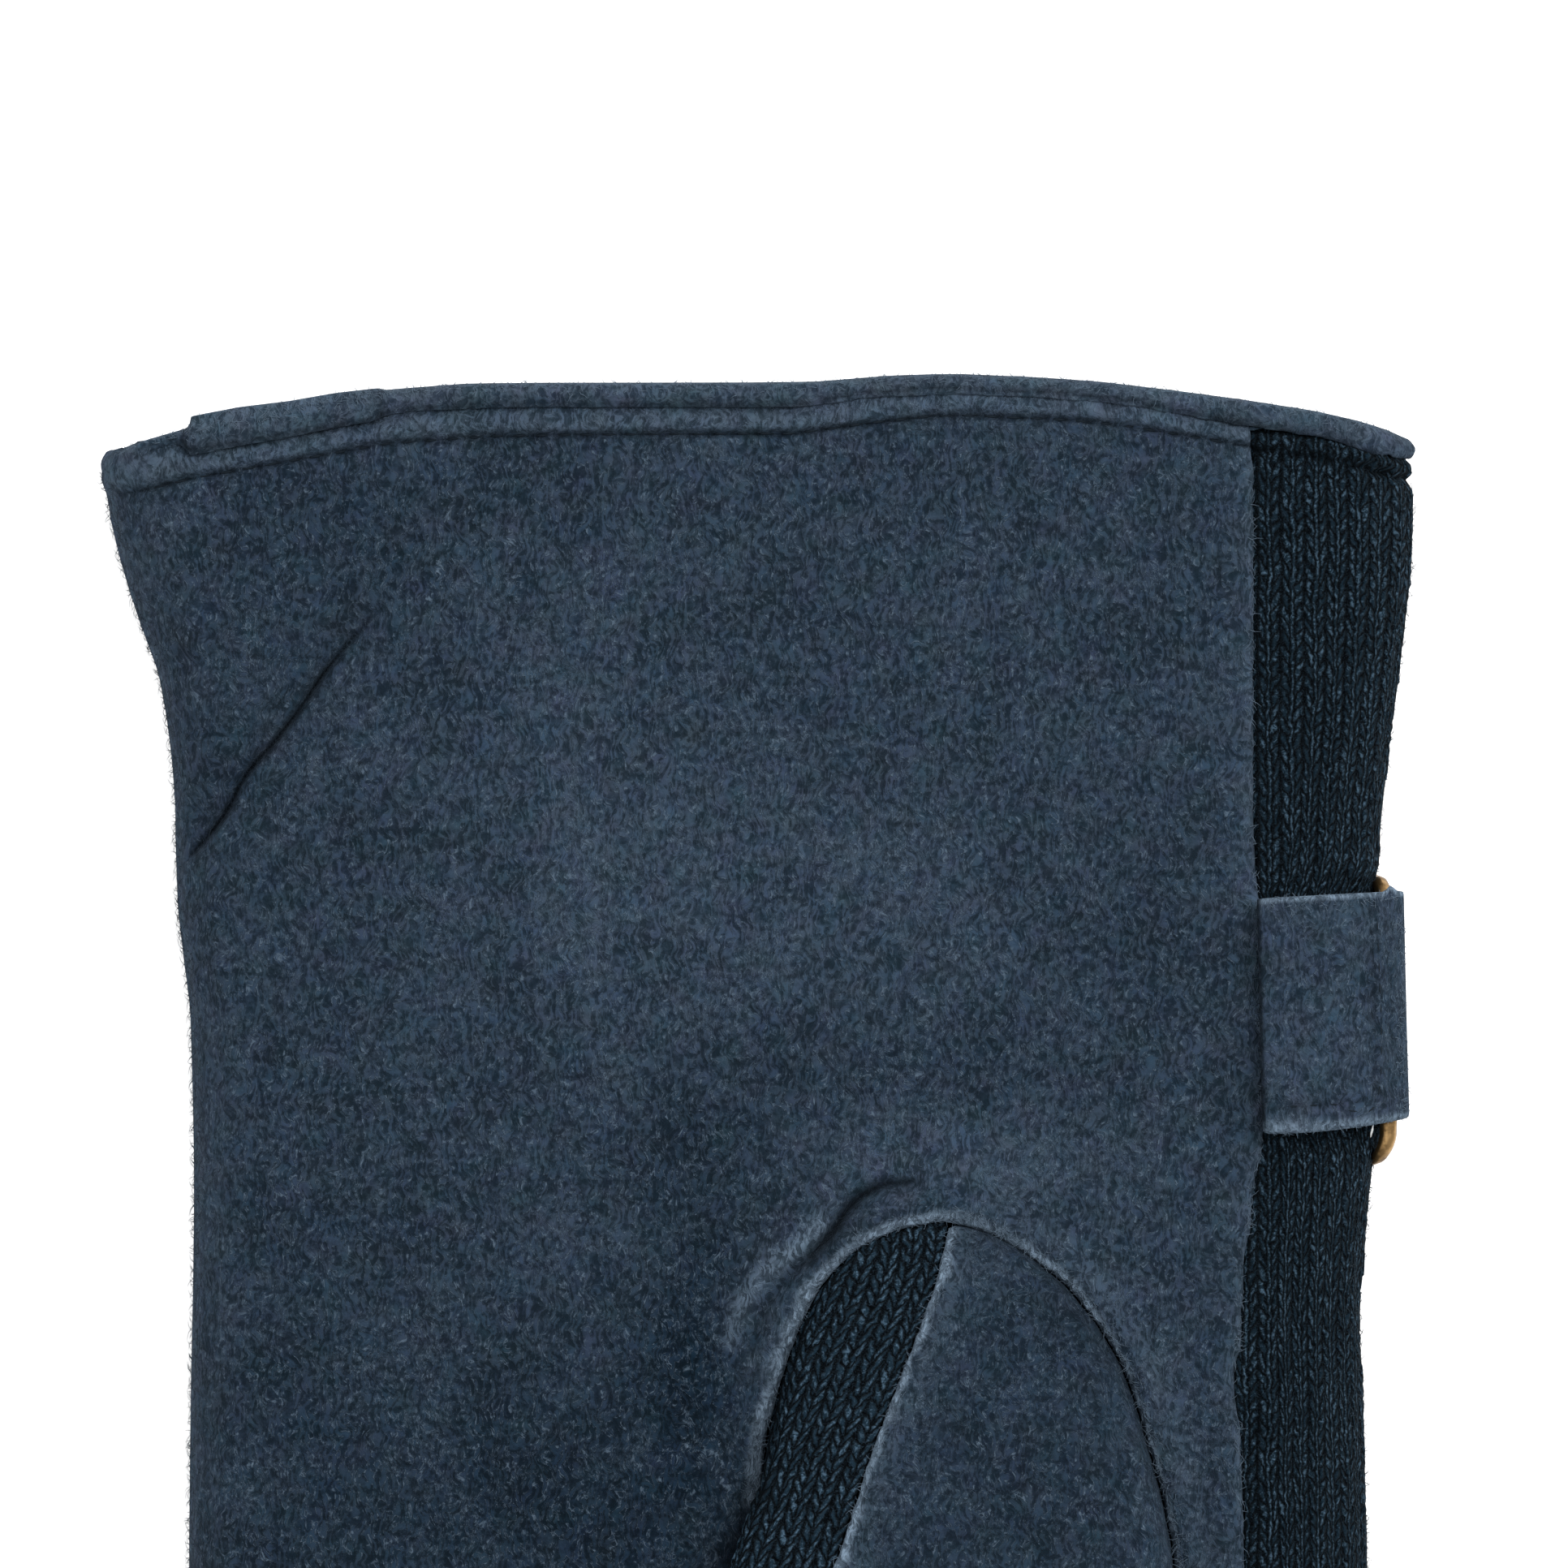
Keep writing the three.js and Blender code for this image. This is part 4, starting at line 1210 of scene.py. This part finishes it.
@dataclass
class BackPanel(SoftWall):
    """The knit back with its strip on the thumb side."""

    side_height: float = 8.4
    roll: float = 7.4
    turn: float = 22.8
    loop: float = 0.22
    foot_bulge: float = 2.6
    head_bulge: float = 2.8
    ring_foot: float = 60.6
    ring_head: float = 42.4
    shoulder: float = 0.8
    hem_ridge: float = 0.38
    hem_groove: float = 0.55
    tucked: Place = (0.8, 0.5)
    stitched_to: float = 98

    def zones(self) -> list[Zone]:
        """Return the strip beside the palm."""
        def beside_palm(places: np.ndarray) -> np.ndarray:
            """Return which places lie in the strip."""
            return (places[:, 0] > 38.5) & (places[:, 1] > 22) & (places[:, 2] > 4.5)
        return [(beside_palm, 1)]

    def shape(self) -> None:
        """Raise the stitches, sew the second hem line and let the knit bulge through the ring."""
        p = self.places()
        x, depth, z = split(p)
        below = HAND.below_mouth(x, depth)
        upper = smoothstep(*UPPER_FACE, z)
        seam = x - HAND.side_seam.at(depth)
        strip = smoothstep(38.5, 40, x) * (depth < self.stitched_to)
        hem = HAND.hem_edge.at(x) - 0.1
        cut = hump(below, hem, 0.32) * strip
        ridge = hump(below - hem, -0.95, 0.6, 4) * strip
        tuck = fading(0.8, 2.4, seam) * (z > 8) * (x > 36)
        shown = smoothstep(37, 39, x) * (depth < self.stitched_to) * (z > 4)
        self.raise_loops(p, self.loop, KNIT.rib, shown)
        p[:, 2] += upper * (self.hem_ridge * ridge - self.hem_groove * cut) - self.tucked[1] * tuck
        side = smoothstep(44, 48, x)
        ringed = (self.foot_bulge * hump(depth, self.ring_foot, 1.7)
                  + self.head_bulge * hump(depth, self.ring_head, 1.1))
        shoulder = self.shoulder * hump(depth, 39.9, 1.9) * smoothstep(6, self.side_height, z)
        waist = self.hem_groove * hump(below, hem, 0.45) - 0.2 * ridge
        p[:, 0] += side * (ringed * hump(z, 6, 3.2) + shoulder - waist)
        p[:, 0] -= self.tucked[0] * tuck + hem_nub(x, below)
        shade = 0.75 * np.exp(-np.clip(seam - 0.1, 0, None) / 0.45) + 0.8 * cut
        self.mark(shade * (z > 8) * strip)
        self.move_to(p)

    def weave(self, places: np.ndarray) -> np.ndarray:
        """Run the wales down the hand, round the thumb side and down each finger."""
        x, depth, z = split(places)
        turn_x = HAND.right.at(depth) - self.roll
        u = self.wrapped(x, z, turn_x, self.side_height, self.turn + 86)
        v = depth.copy()
        owner = np.argmin([
            np.abs(x - f.x - np.tan(math.radians(f.lean)) * (depth - f.root)) for f in FINGER_AXES], axis=0)
        for number, finger in enumerate(FINGER_AXES):
            lean = math.radians(finger.lean)
            mine = (owner == number) & (depth > finger.root + 1)
            over = (x - finger.x) * math.cos(lean) - (depth - finger.root) * math.sin(lean)
            along = (x - finger.x) * math.sin(lean) + (depth - finger.root) * math.cos(lean)
            half = np.full(x.shape, finger.width / 2 - 6)
            u = np.where(mine, self.wrapped(over, z, half, 6.6, self.turn + 2 * half) + finger.x, u)
            v = np.where(mine, along + finger.root, v)
        return self.swayed(np.stack([u, v], axis=1), places)

    def wrapped(self, x: np.ndarray, z: np.ndarray, turn_x: np.ndarray, level: float,
                reach: Amount) -> np.ndarray:
        """Measure round the section from the middle of the floor to the right.

        Args:
            x: Places across.
            z: Heights.
            turn_x: Where the side starts to turn up.
            level: Height of the side's widest place.
            reach: Distance round to the middle of the top.

        Returns:
            The distance round the section.
        """
        angle = np.degrees(np.arctan2(z - level, np.maximum(x - turn_x, 1e-6)))
        round_side = turn_x + (reach - 2 * turn_x) * (angle + 90) / 180
        return np.where(x > turn_x, round_side, np.where(z > level, reach - x, x))


@dataclass
class FingerSide(SoftWall):
    """A knit strip between two fingers."""

    def weave(self, places: np.ndarray) -> np.ndarray:
        """Run the wales along the strip."""
        return self.swayed(np.stack([places[:, 2], CUFF_Y - places[:, 1]], axis=1), places)


@dataclass
class ThumbFront(SoftWall):
    """The thumb's suede, its raw edge lying over the knit along the seam."""

    overlap: float = 0.28
    ragged: float = 0.08
    lip_height: float = 0.16
    sway: float = 0.12

    def zones(self) -> list[Zone]:
        """Return the seam's edge."""
        return [(along_line(THUMB_SEAM, 1.3, 14.8), 1)]

    def shape(self) -> None:
        """Lay the raw edge over the seam, tone the nap with its patches and paint shadow under the palm's
        edge round the thumb hole.
        """
        p = self.places()
        x, depth, z = split(p)
        away, _, _ = THUMB_SEAM.nearest(x, depth)
        upper = (z > 14.5) * smoothstep(0.6, 0.1, np.abs(z - THUMB_TOP.at(depth)) - 0.6)
        lip = fading(0.1, 1.2, away) * upper
        p[:, 0] -= lip * (self.overlap + self.ragged * rolling(x * 0, depth, 1.8, 3))
        p[:, 2] += lip * self.lip_height + self.sway * rolling(x, depth, 9, 6) * (z > 16)
        self.move_to(p)
        wide = 0.5 + 0.16 * rolling(x * 0, depth, 2.2, 12) + 0.25 * smoothstep(88, 100, depth)
        pale = hump(away, 0.1, wide, 4) + 0.08 * hump(away, 1.2, 0.8)
        edge, _, _ = ARCH_EDGE.nearest(x, depth)
        # Painted shadow under the palm's edge round the thumb hole.
        painted_shade = 0.75 * hump(edge, 0, 0.55) * (0.35 + 0.65 * smoothstep(15.5, 21, x))
        painted_shade += 0.12 * hump(edge, 0, 2.5)
        brush = sum(mark.at(x, depth) for mark in THUMB_MARKS)
        self.mark(painted_shade * (z < 20.5), pale * upper, brush)


@dataclass
class ThumbBack(SoftWall):
    """The thumb's knit strip, side and back."""

    roll: float = 5.5
    loop: float = 0.24
    stitched_to: float = 99
    sunk_below: float = 14.2

    def zones(self) -> list[Zone]:
        """Return the part that the photograph shows."""
        def shown(places: np.ndarray) -> np.ndarray:
            """Return which places lie in the shown part."""
            return (places[:, 1] > 20) & (places[:, 2] > self.sunk_below)
        return [(shown, 1)]

    def shape(self) -> None:
        """Raise the stitches and tuck the knit under the suede's edge."""
        p = self.places()
        x, depth, z = split(p)
        self.raise_loops(p, self.loop, THUMB_KNIT.rib, (depth < self.stitched_to) * (z > self.sunk_below))
        away, side, _ = THUMB_SEAM.nearest(x, depth)
        tuck = fading(0.1, 1.1, away) * (np.abs(z - THUMB_TOP.at(depth)) < 1.2)
        p[:, 0] += 0.1 * tuck
        p[:, 2] -= 0.3 * tuck
        self.move_to(p)
        edge, _, _ = ARCH_EDGE.nearest(x, depth)
        shade = 0.7 * hump(edge, 0, 0.5 + 0.9 * smoothstep(74, 92, depth)) + 0.5 * hump(away, 0, 0.35)
        self.mark(shade * (x < 20))

    def weave(self, places: np.ndarray) -> np.ndarray:
        """Run the wales along the thumb, parallel to its seam."""
        x, depth, z = split(places)
        seam = THUMB_SEAM_X.at(depth)
        turn_x = THUMB_LEFT.at(depth) + self.roll
        drop = np.maximum(THUMB_TOP.at(depth) - z, 0)
        round_side = turn_x - seam - np.hypot(np.maximum(turn_x - x, 0), 0.9 * drop)
        under = turn_x - seam - 14 - (x - turn_x)
        u = np.where(x < turn_x, round_side, np.where(drop < 3, x - seam, under))
        return self.swayed(np.stack([u, depth * 1.04], axis=1), places)


@dataclass
class CuffBinding(SoftWall):
    """The rolled binding, puckered by its stitches, with the end of the strip lapped over."""

    width: float = 2.4
    thread_line: float = 2.35
    pucker: float = 0.14
    lumps: float = 0.1
    drawn_in: float = 0.12
    end_inset: float = 0.28
    end_round: float = 0.5
    thumb_side_rise: float = 0.75
    lap_ends: Place = (-30.2, -45.9)

    def shape(self) -> None:
        """Draw the stitched edge in and narrow the roll where the real one is narrow."""
        p = self.places()
        x, depth, z = split(p)
        below = HAND.below_mouth(x, depth)
        upper = smoothstep(12, 14, z)
        narrow = HAND.binding_edge.at(x) / self.width
        slide = np.clip(below, 0, 3) * (narrow - 1) * upper
        stitch = 0.5 + 0.5 * ripple(x, STITCH_PITCH)
        low_edge = smoothstep(1.2, 2.3, below / narrow)
        lump = self.lumps * rolling(x, below * 3, 3, 9)
        p[:, 1] -= slide + self.drawn_in * low_edge * upper
        end = smoothstep(49.3, 53, np.abs(x)) * np.sign(x)
        bend = np.clip((below - 1.2 * narrow) / (1.25 * narrow), -1, (x > 0).astype(float)) ** 2
        p[:, 0] -= end * (self.end_inset + 0.1 * (x < 0) + self.end_round * bend)
        roll = np.clip(below / self.width, 0, 1)
        p[:, 1] -= self.thumb_side_rise * smoothstep(45, 51.5, x) * roll * upper
        p[:, 2] = z + upper * (lump - (0.26 + self.pucker * stitch) * low_edge)
        self.move_to(p)
        line = hump(below / narrow, self.thread_line, 0.3)
        lap = hump(x, self.lap_ends[0], 0.25) + hump(x, self.lap_ends[1], 0.3)
        # Painted shade along the thread line and under the lapped ends.
        painted_shade = upper * (line * (0.35 + 0.35 * stitch) + 0.55 * lap)
        self.mark(painted_shade, 0.15 * hump(below, -0.3, 0.8), -0.1 * (x > 36))


@dataclass
class WristTab(SoftWall):
    """The double suede tab folded round the ring, with pale cut ends."""

    top: float = 41.8
    bottom: float = 61.0
    inner: float = 40.5
    width: float = 12
    row_x: float = 49.6
    row_depth: float = 58.75
    row_groove: float = 0.22
    lean: float = 0.45
    fade: float = 9

    def shape(self) -> None:
        """Set the tab a little askew, sink its row of stitches in, paint shade into that row and along its
        edge by the palm, and fray its cut ends.
        """
        p = self.places()
        x, depth, z = split(p)
        skew = (x - self.inner) / self.width
        head = fading(self.top, self.top + self.fade, depth)
        foot = smoothstep(self.bottom - self.fade, self.bottom, depth)
        p[:, 1] -= head * (0.26 - 0.72 * skew + 0.1 * skew ** 2)
        p[:, 1] += 0.5 * hump(x, 51.2, 0.35) * fading(42.2, 43.4, depth)
        p[:, 1] += foot * (0.1 + 1.3 * skew ** 2)
        p[:, 0] -= 0.1 + self.lean * (1 - np.clip((depth - self.top) / 19, 0, 1))
        row = hump(x, self.row_x, 0.3) * (depth < 58.6) + hump(depth, self.row_depth, 0.3) * (x < 49.8)
        outer = smoothstep(13.4, 14.4, z + 1.1 * np.clip(x - 46, 0, 6) ** 1.2 / 3)
        row = np.clip(row, 0, 1) * (0.6 + 0.4 * ripple(x + depth, TAB_PITCH))
        p[:, 2] += outer * (0.1 * rolling(x, depth, 5, 3) - self.row_groove * row)
        self.move_to(p)
        ends = hump(depth, 41.9, 0.26, 4) + 0.7 * hump(depth, 60.9, 0.45 + 0.5 * (1 - skew), 4)
        # Painted shade along the gap between the tab and the palm.
        side = hump(x, 40.45, 0.33) * (0.8 + 0.2 * ripple(depth, STITCH_PITCH))
        brush = sum(mark.at(x, depth) for mark in TAB_MARKS)
        self.mark(0.5 * outer * row + side, 0.9 * ends, brush + 0.1)


@dataclass
class RingWire:
    """The brass ring, its wire made round and its top settled against the knit."""

    node: str = "ring"
    settle: float = 0.4
    lift: float = 0.62
    height: float = 11
    head_end: float = 43.5
    foot_start: float = 59
    bend_start: float = 60.2
    reach: float = 3

    @staticmethod
    def within(share: float) -> float:
        """Return a share held between 0 and 1."""
        return min(1.0, max(0.0, share))

    def build(self) -> bpy.types.Object:
        """Round the CAD ring's wire.

        Returns:
            The finished piece.
        """
        bm = solid_copy(self.node)
        bmesh.ops.join_triangles(bm, faces=bm.faces, angle_face_threshold=0.5, angle_shape_threshold=3.0)
        bmesh.ops.subdivide_edges(bm, edges=bm.edges, cuts=2, smooth=1.0, use_grid_fill=True)
        for vertex in bm.verts:
            depth = CUFF_Y - vertex.co.y / MM
            head = self.settle * self.within((self.head_end - depth) / self.reach)
            foot = 0.2 * self.within((depth - self.foot_start) / self.reach)
            rise = self.lift * (1 - self.within(vertex.co.z / MM / self.height))
            bend = 0.15 * max(0.0, depth - self.bend_start) ** 1.6
            vertex.co += Vector((foot - bend - head, -0.6 * head, rise)) * MM
        piece = linked("ring_wire", bm)
        shade_smooth(piece)
        place_piece(piece, Slot.BRASS, BRASS.material(), self.node)
        return piece


@dataclass
class Strands:
    """Short loose fibres that stand off a surface along a line."""

    name: str
    surface: BVHTree
    slot: Slot
    finish: ThreadFinish
    thick: float = 0.055
    length: float = 0.7
    seed: int = 1
    roots: list[tuple[Vector, Vector]] = field(default_factory=list)

    def along(self, line: Line, density: float, spread: float) -> "Strands":
        """Drop roots on the surface from above, near a line.

        Args:
            line: The line.
            density: Fibres per millimetre of line.
            spread: How far they scatter to both sides, in millimetres.

        Returns:
            These strands.
        """
        rng = np.random.default_rng(self.seed + len(self.roots))
        for x, depth in line.walk(1 / density):
            dx, dy = rng.normal(0, spread, 2)
            self.drop(Vector(((x + dx) * MM, (CUFF_Y - depth + dy) * MM, ABOVE)), Vector((0, 0, -1)))
        return self

    def beside(self, edge: Profile, stations: Sequence[float], heights: Place, way: float) -> "Strands":
        """Throw roots on the surface from the side, along an outline.

        Args:
            edge: The outline, as x by depth.
            stations: The depths.
            heights: The lowest and highest root.
            way: The direction that the fibres are thrown in, -1 or 1 along x.

        Returns:
            These strands.
        """
        rng = np.random.default_rng(self.seed + len(self.roots))
        for depth in stations:
            x = float(edge.at(np.array(depth))) * MM - way * 0.01
            self.drop(Vector((x, (CUFF_Y - depth) * MM, rng.uniform(*heights) * MM)), Vector((way, 0, 0)))
        return self

    def drop(self, start: Vector, way: Vector) -> None:
        """Keep the place where a ray meets the surface."""
        place, normal, _, _ = self.surface.ray_cast(start, way)
        if place is not None:
            self.roots.append((place, normal))

    def build(self) -> bpy.types.Object:
        """Grow a bent fibre from each root.

        Returns:
            The finished piece.
        """
        rng = np.random.default_rng(self.seed)
        curve = bpy.data.curves.new(self.name, "CURVE")
        curve.dimensions = "3D"
        curve.bevel_depth = self.thick / 2 * MM
        curve.bevel_resolution = 0
        for place, normal in self.roots:
            lay = Vector(rng.normal(0, 1, 3)).cross(normal).normalized()
            bend = normal.cross(lay) * rng.normal(0, 0.3)
            size = self.length * rng.uniform(0.5, 1.3) * MM
            spline = curve.splines.new("POLY")
            spline.points.add(2)
            for number, point in enumerate(spline.points):
                t = number / 2
                up = 0.95 * t - 0.45 * t * t - 0.06
                at = place + (lay * t + bend * t * t) * size + normal * size * up
                point.co = (*at, 1.0)
                point.radius = 1.0 - 0.7 * t
        holder = in_scene(self.name + "_curve", curve)
        mesh = final_mesh(holder)
        bpy.data.objects.remove(holder)
        bpy.data.curves.remove(curve)
        piece = in_scene(self.name, mesh)
        place_piece(piece, self.slot, self.finish.material())
        return piece


@dataclass
class StitchRow:
    """A row of short sewn stitches lying on a surface."""

    name: str
    line: Line
    pitch: float
    length: float
    thick: float
    ground: BVHTree
    sink: float = 0.05
    steepest: float = 0.9

    def build(self, finish: ThreadFinish) -> bpy.types.Object:
        """Lay the stitches.

        Args:
            finish: The thread.

        Returns:
            The finished piece.
        """
        bm = bmesh.new()
        walk = self.line.walk(self.pitch)
        half, round_half = self.length / 2, self.thick / 2
        for before, place, after in zip(walk, walk[1:], walk[2:]):
            run = Vector((after[0] - before[0], before[1] - after[1], 0)).normalized()
            z = height_on(self.ground, place[0], place[1], PALM_TOP) - self.sink
            end = height_on(self.ground, place[0] + run.x * self.length / 2,
                            place[1] - run.y * self.length / 2, z)
            tilt = max(-self.steepest, min(self.steepest, math.atan2(end - self.sink - z, half)))
            made = bmesh.ops.create_icosphere(bm, subdivisions=1, radius=1.0)["verts"]
            bmesh.ops.scale(bm, vec=(half, round_half, round_half), verts=made)
            way = Vector((run.x * math.cos(tilt), run.y * math.cos(tilt), math.sin(tilt)))
            turn = Vector((1, 0, 0)).rotation_difference(way).to_matrix()
            bmesh.ops.rotate(bm, cent=(0, 0, 0), matrix=turn, verts=made)
            bmesh.ops.translate(bm, vec=(place[0], CUFF_Y - place[1], z), verts=made)
        bmesh.ops.scale(bm, vec=(MM, MM, MM), verts=bm.verts)
        piece = linked(self.name, bm)
        shade_smooth(piece)
        place_piece(piece, Slot.SUEDE, finish.material())
        return piece


# Studio


@dataclass
class Studio:
    """White floor, soft light and the camera straight above the cuff."""

    centre: Place = (2.1, 32.9)
    distance: float = 6.0
    floor_half: float = 1.6
    floor_glow: float = 0.55
    floor_below: float = 0.0002
    sky_strength: float = 0.62
    aim: tuple[float, float, float] = (0, 0.06, 0)

    def build(self) -> None:
        """Set up the floor, the lights and the camera."""
        self.floor()
        self.light("key", (0.62, 0.6, 1.1), 0.8, 17)
        self.light("fill", (-0.7, -0.3, 1.2), 1.0, 6)
        self.sky()
        self.camera()

    def floor(self) -> None:
        """Lay the floor."""
        bm = bmesh.new()
        bmesh.ops.create_grid(bm, x_segments=2, y_segments=2, size=self.floor_half)
        floor = linked("floor", bm)
        floor.location.z = -self.floor_below
        material, w, shader = new_material("floor_white")
        w.fix(shader, Base_Color=(0.85, 0.85, 0.85), Roughness=0.9, Emission_Color=(1, 1, 1),
              Emission_Strength=self.floor_glow)
        floor.data.materials.append(material)

    def light(self, name: str, place: tuple[float, float, float], size: float, power: float) -> None:
        """Hang a soft light aimed at the glove.

        Args:
            name: The light's name.
            place: Where it hangs, in metres.
            size: Length of its sides, in metres.
            power: Its power in watts.
        """
        lamp = bpy.data.lights.new(name, "AREA")
        lamp.shape = "SQUARE"
        lamp.size = size
        lamp.energy = power
        holder = in_scene(name, lamp)
        holder.location = place
        way = Vector(self.aim) - Vector(place)
        holder.rotation_euler = way.to_track_quat("-Z", "Y").to_euler()

    def sky(self) -> None:
        """Fill the shadows with even white light."""
        world = bpy.data.worlds.new("studio")
        world.use_nodes = True
        colour, strength = world.node_tree.nodes["Background"].inputs[:2]
        colour.default_value = (1, 1, 1, 1)
        strength.default_value = self.sky_strength
        bpy.context.scene.world = world

    def camera(self) -> None:
        """Look straight down at the cuff end, as the photograph does."""
        lens = bpy.data.cameras.new("camera")
        holder = in_scene("camera", lens)
        height = self.distance + PALM_TOP * MM
        holder.location = (self.centre[0] * MM, (CUFF_Y - self.centre[1]) * MM, height)
        width = PICTURE / PIXELS_PER_MM * MM
        lens.angle = 2 * math.atan(width / 2 / self.distance)
        lens.clip_start = 0.05
        bpy.context.scene.camera = holder
        bpy.context.scene.view_settings.view_transform = "Standard"


def stitch_hem_and_tab(palm: BVHTree, tab: BVHTree) -> None:
    """Sew the hem and the tab.

    Args:
        palm: The palm's surface.
        tab: The tab's surface.
    """
    hem = HAND.hem_line(HAND.hem_edge, -49.5, 39.5)
    row = Line(((49.5, 42.6), (49.6, 57.9), (45.5, 58.5), (41, 58.8)))
    end = Line(((49.3, 59.8), (49.2, 60.4), (48.9, 61.6)))
    StitchRow("hem_stitches", hem, STITCH_PITCH, 1.3, 0.26, palm, sink=0.0).build(DARK_THREAD)
    StitchRow("tab_stitches", row, TAB_PITCH, 1.0, 0.2, tab).build(DARK_THREAD)
    StitchRow("tab_thread_end", end, 0.8, 1.2, 0.2, tab, sink=-0.1).build(PALE_THREAD)


def fray_edges(palm: BVHTree, back: BVHTree, thumb: BVHTree, binding: BVHTree, tab: BVHTree) -> None:
    """Let short fibres stand off the cut edges and the outline.

    Args:
        palm: The palm's surface.
        back: The knit back's surface.
        thumb: The thumb's suede surface.
        binding: The binding's surface.
        tab: The tab's surface.
    """
    seam = HAND.seam_line(range(7, 104, 4), 0.1)
    brink = HAND.hem_line(Profile(((-60, 0.1), (60, 0.1))), -51.5, 51.5)
    tab_rim = (((40.4, 42.1), (50.9, 42.2)), ((51.4, 43), (51.8, 60)), ((40.4, 60.7), (51.4, 59.9)))
    heights = (4.5, 11.5)
    Strands("palm_strands", palm, Slot.SUEDE, FIBRE).along(seam, 16, 0.25).along(ARCH_EDGE, 20, 0.35).build()
    Strands("outline_strands", palm, Slot.SUEDE, DARK_FIBRE, seed=5).beside(
        HAND.left, np.arange(8, 152, 0.07), heights, 1).build()
    Strands("binding_strands", binding, Slot.SUEDE, FIBRE, length=0.55, seed=2).along(brink, 20, 0.4).build()
    tab_fibres = Strands("tab_strands", tab, Slot.SUEDE, FIBRE, length=0.45, seed=6)
    for side in tab_rim:
        tab_fibres.along(Line(side), 14, 0.3)
    tab_fibres.build()
    Strands("thumb_strands", thumb, Slot.SUEDE, FIBRE, seed=3).along(THUMB_SEAM, 20, 0.3).build()
    Strands("knit_strands", back, Slot.KNIT, WOOL_FIBRE, length=0.6, seed=4).beside(
        HAND.right, np.arange(9, 152, 0.08), heights, -1).build()


def main() -> None:
    """Build the glove's pieces in order and set up the studio."""
    logging.basicConfig(level=logging.INFO, format="%(message)s")
    Studio().build()
    palm = PalmPanel("palm_suede", "palm_panel", 0.85, Slot.SUEDE, SUEDE, easing=3).build()
    back = BackPanel("back_knit", "back_panel", 0.95, Slot.KNIT, KNIT, easing=3).build()
    for number in (1, 2, 3):
        FingerSide(f"finger_side_knit_{number}", f"finger_side_{number}", 0.6, Slot.KNIT, KNIT).build()
    thumb = ThumbFront("thumb_suede", "thumb_front", 0.5, Slot.SUEDE, THUMB_SUEDE, easing=4).build()
    ThumbBack("thumb_knit", "thumb_back", 0.5, Slot.KNIT, THUMB_KNIT, easing=4).build()
    binding = CuffBinding("cuff_binding_suede", "cuff_binding", 0.36, Slot.SUEDE, HEM_SUEDE, easing=3).build()
    tab = WristTab("wrist_tab_suede", "wrist_tab", 0.3, Slot.SUEDE, SUEDE, easing=2).build()
    RingWire().build()
    stitch_hem_and_tab(surface_of(palm), surface_of(tab))
    fray_edges(*(surface_of(piece) for piece in (palm, back, thumb, binding, tab)))


if __name__ == "__main__":
    main()
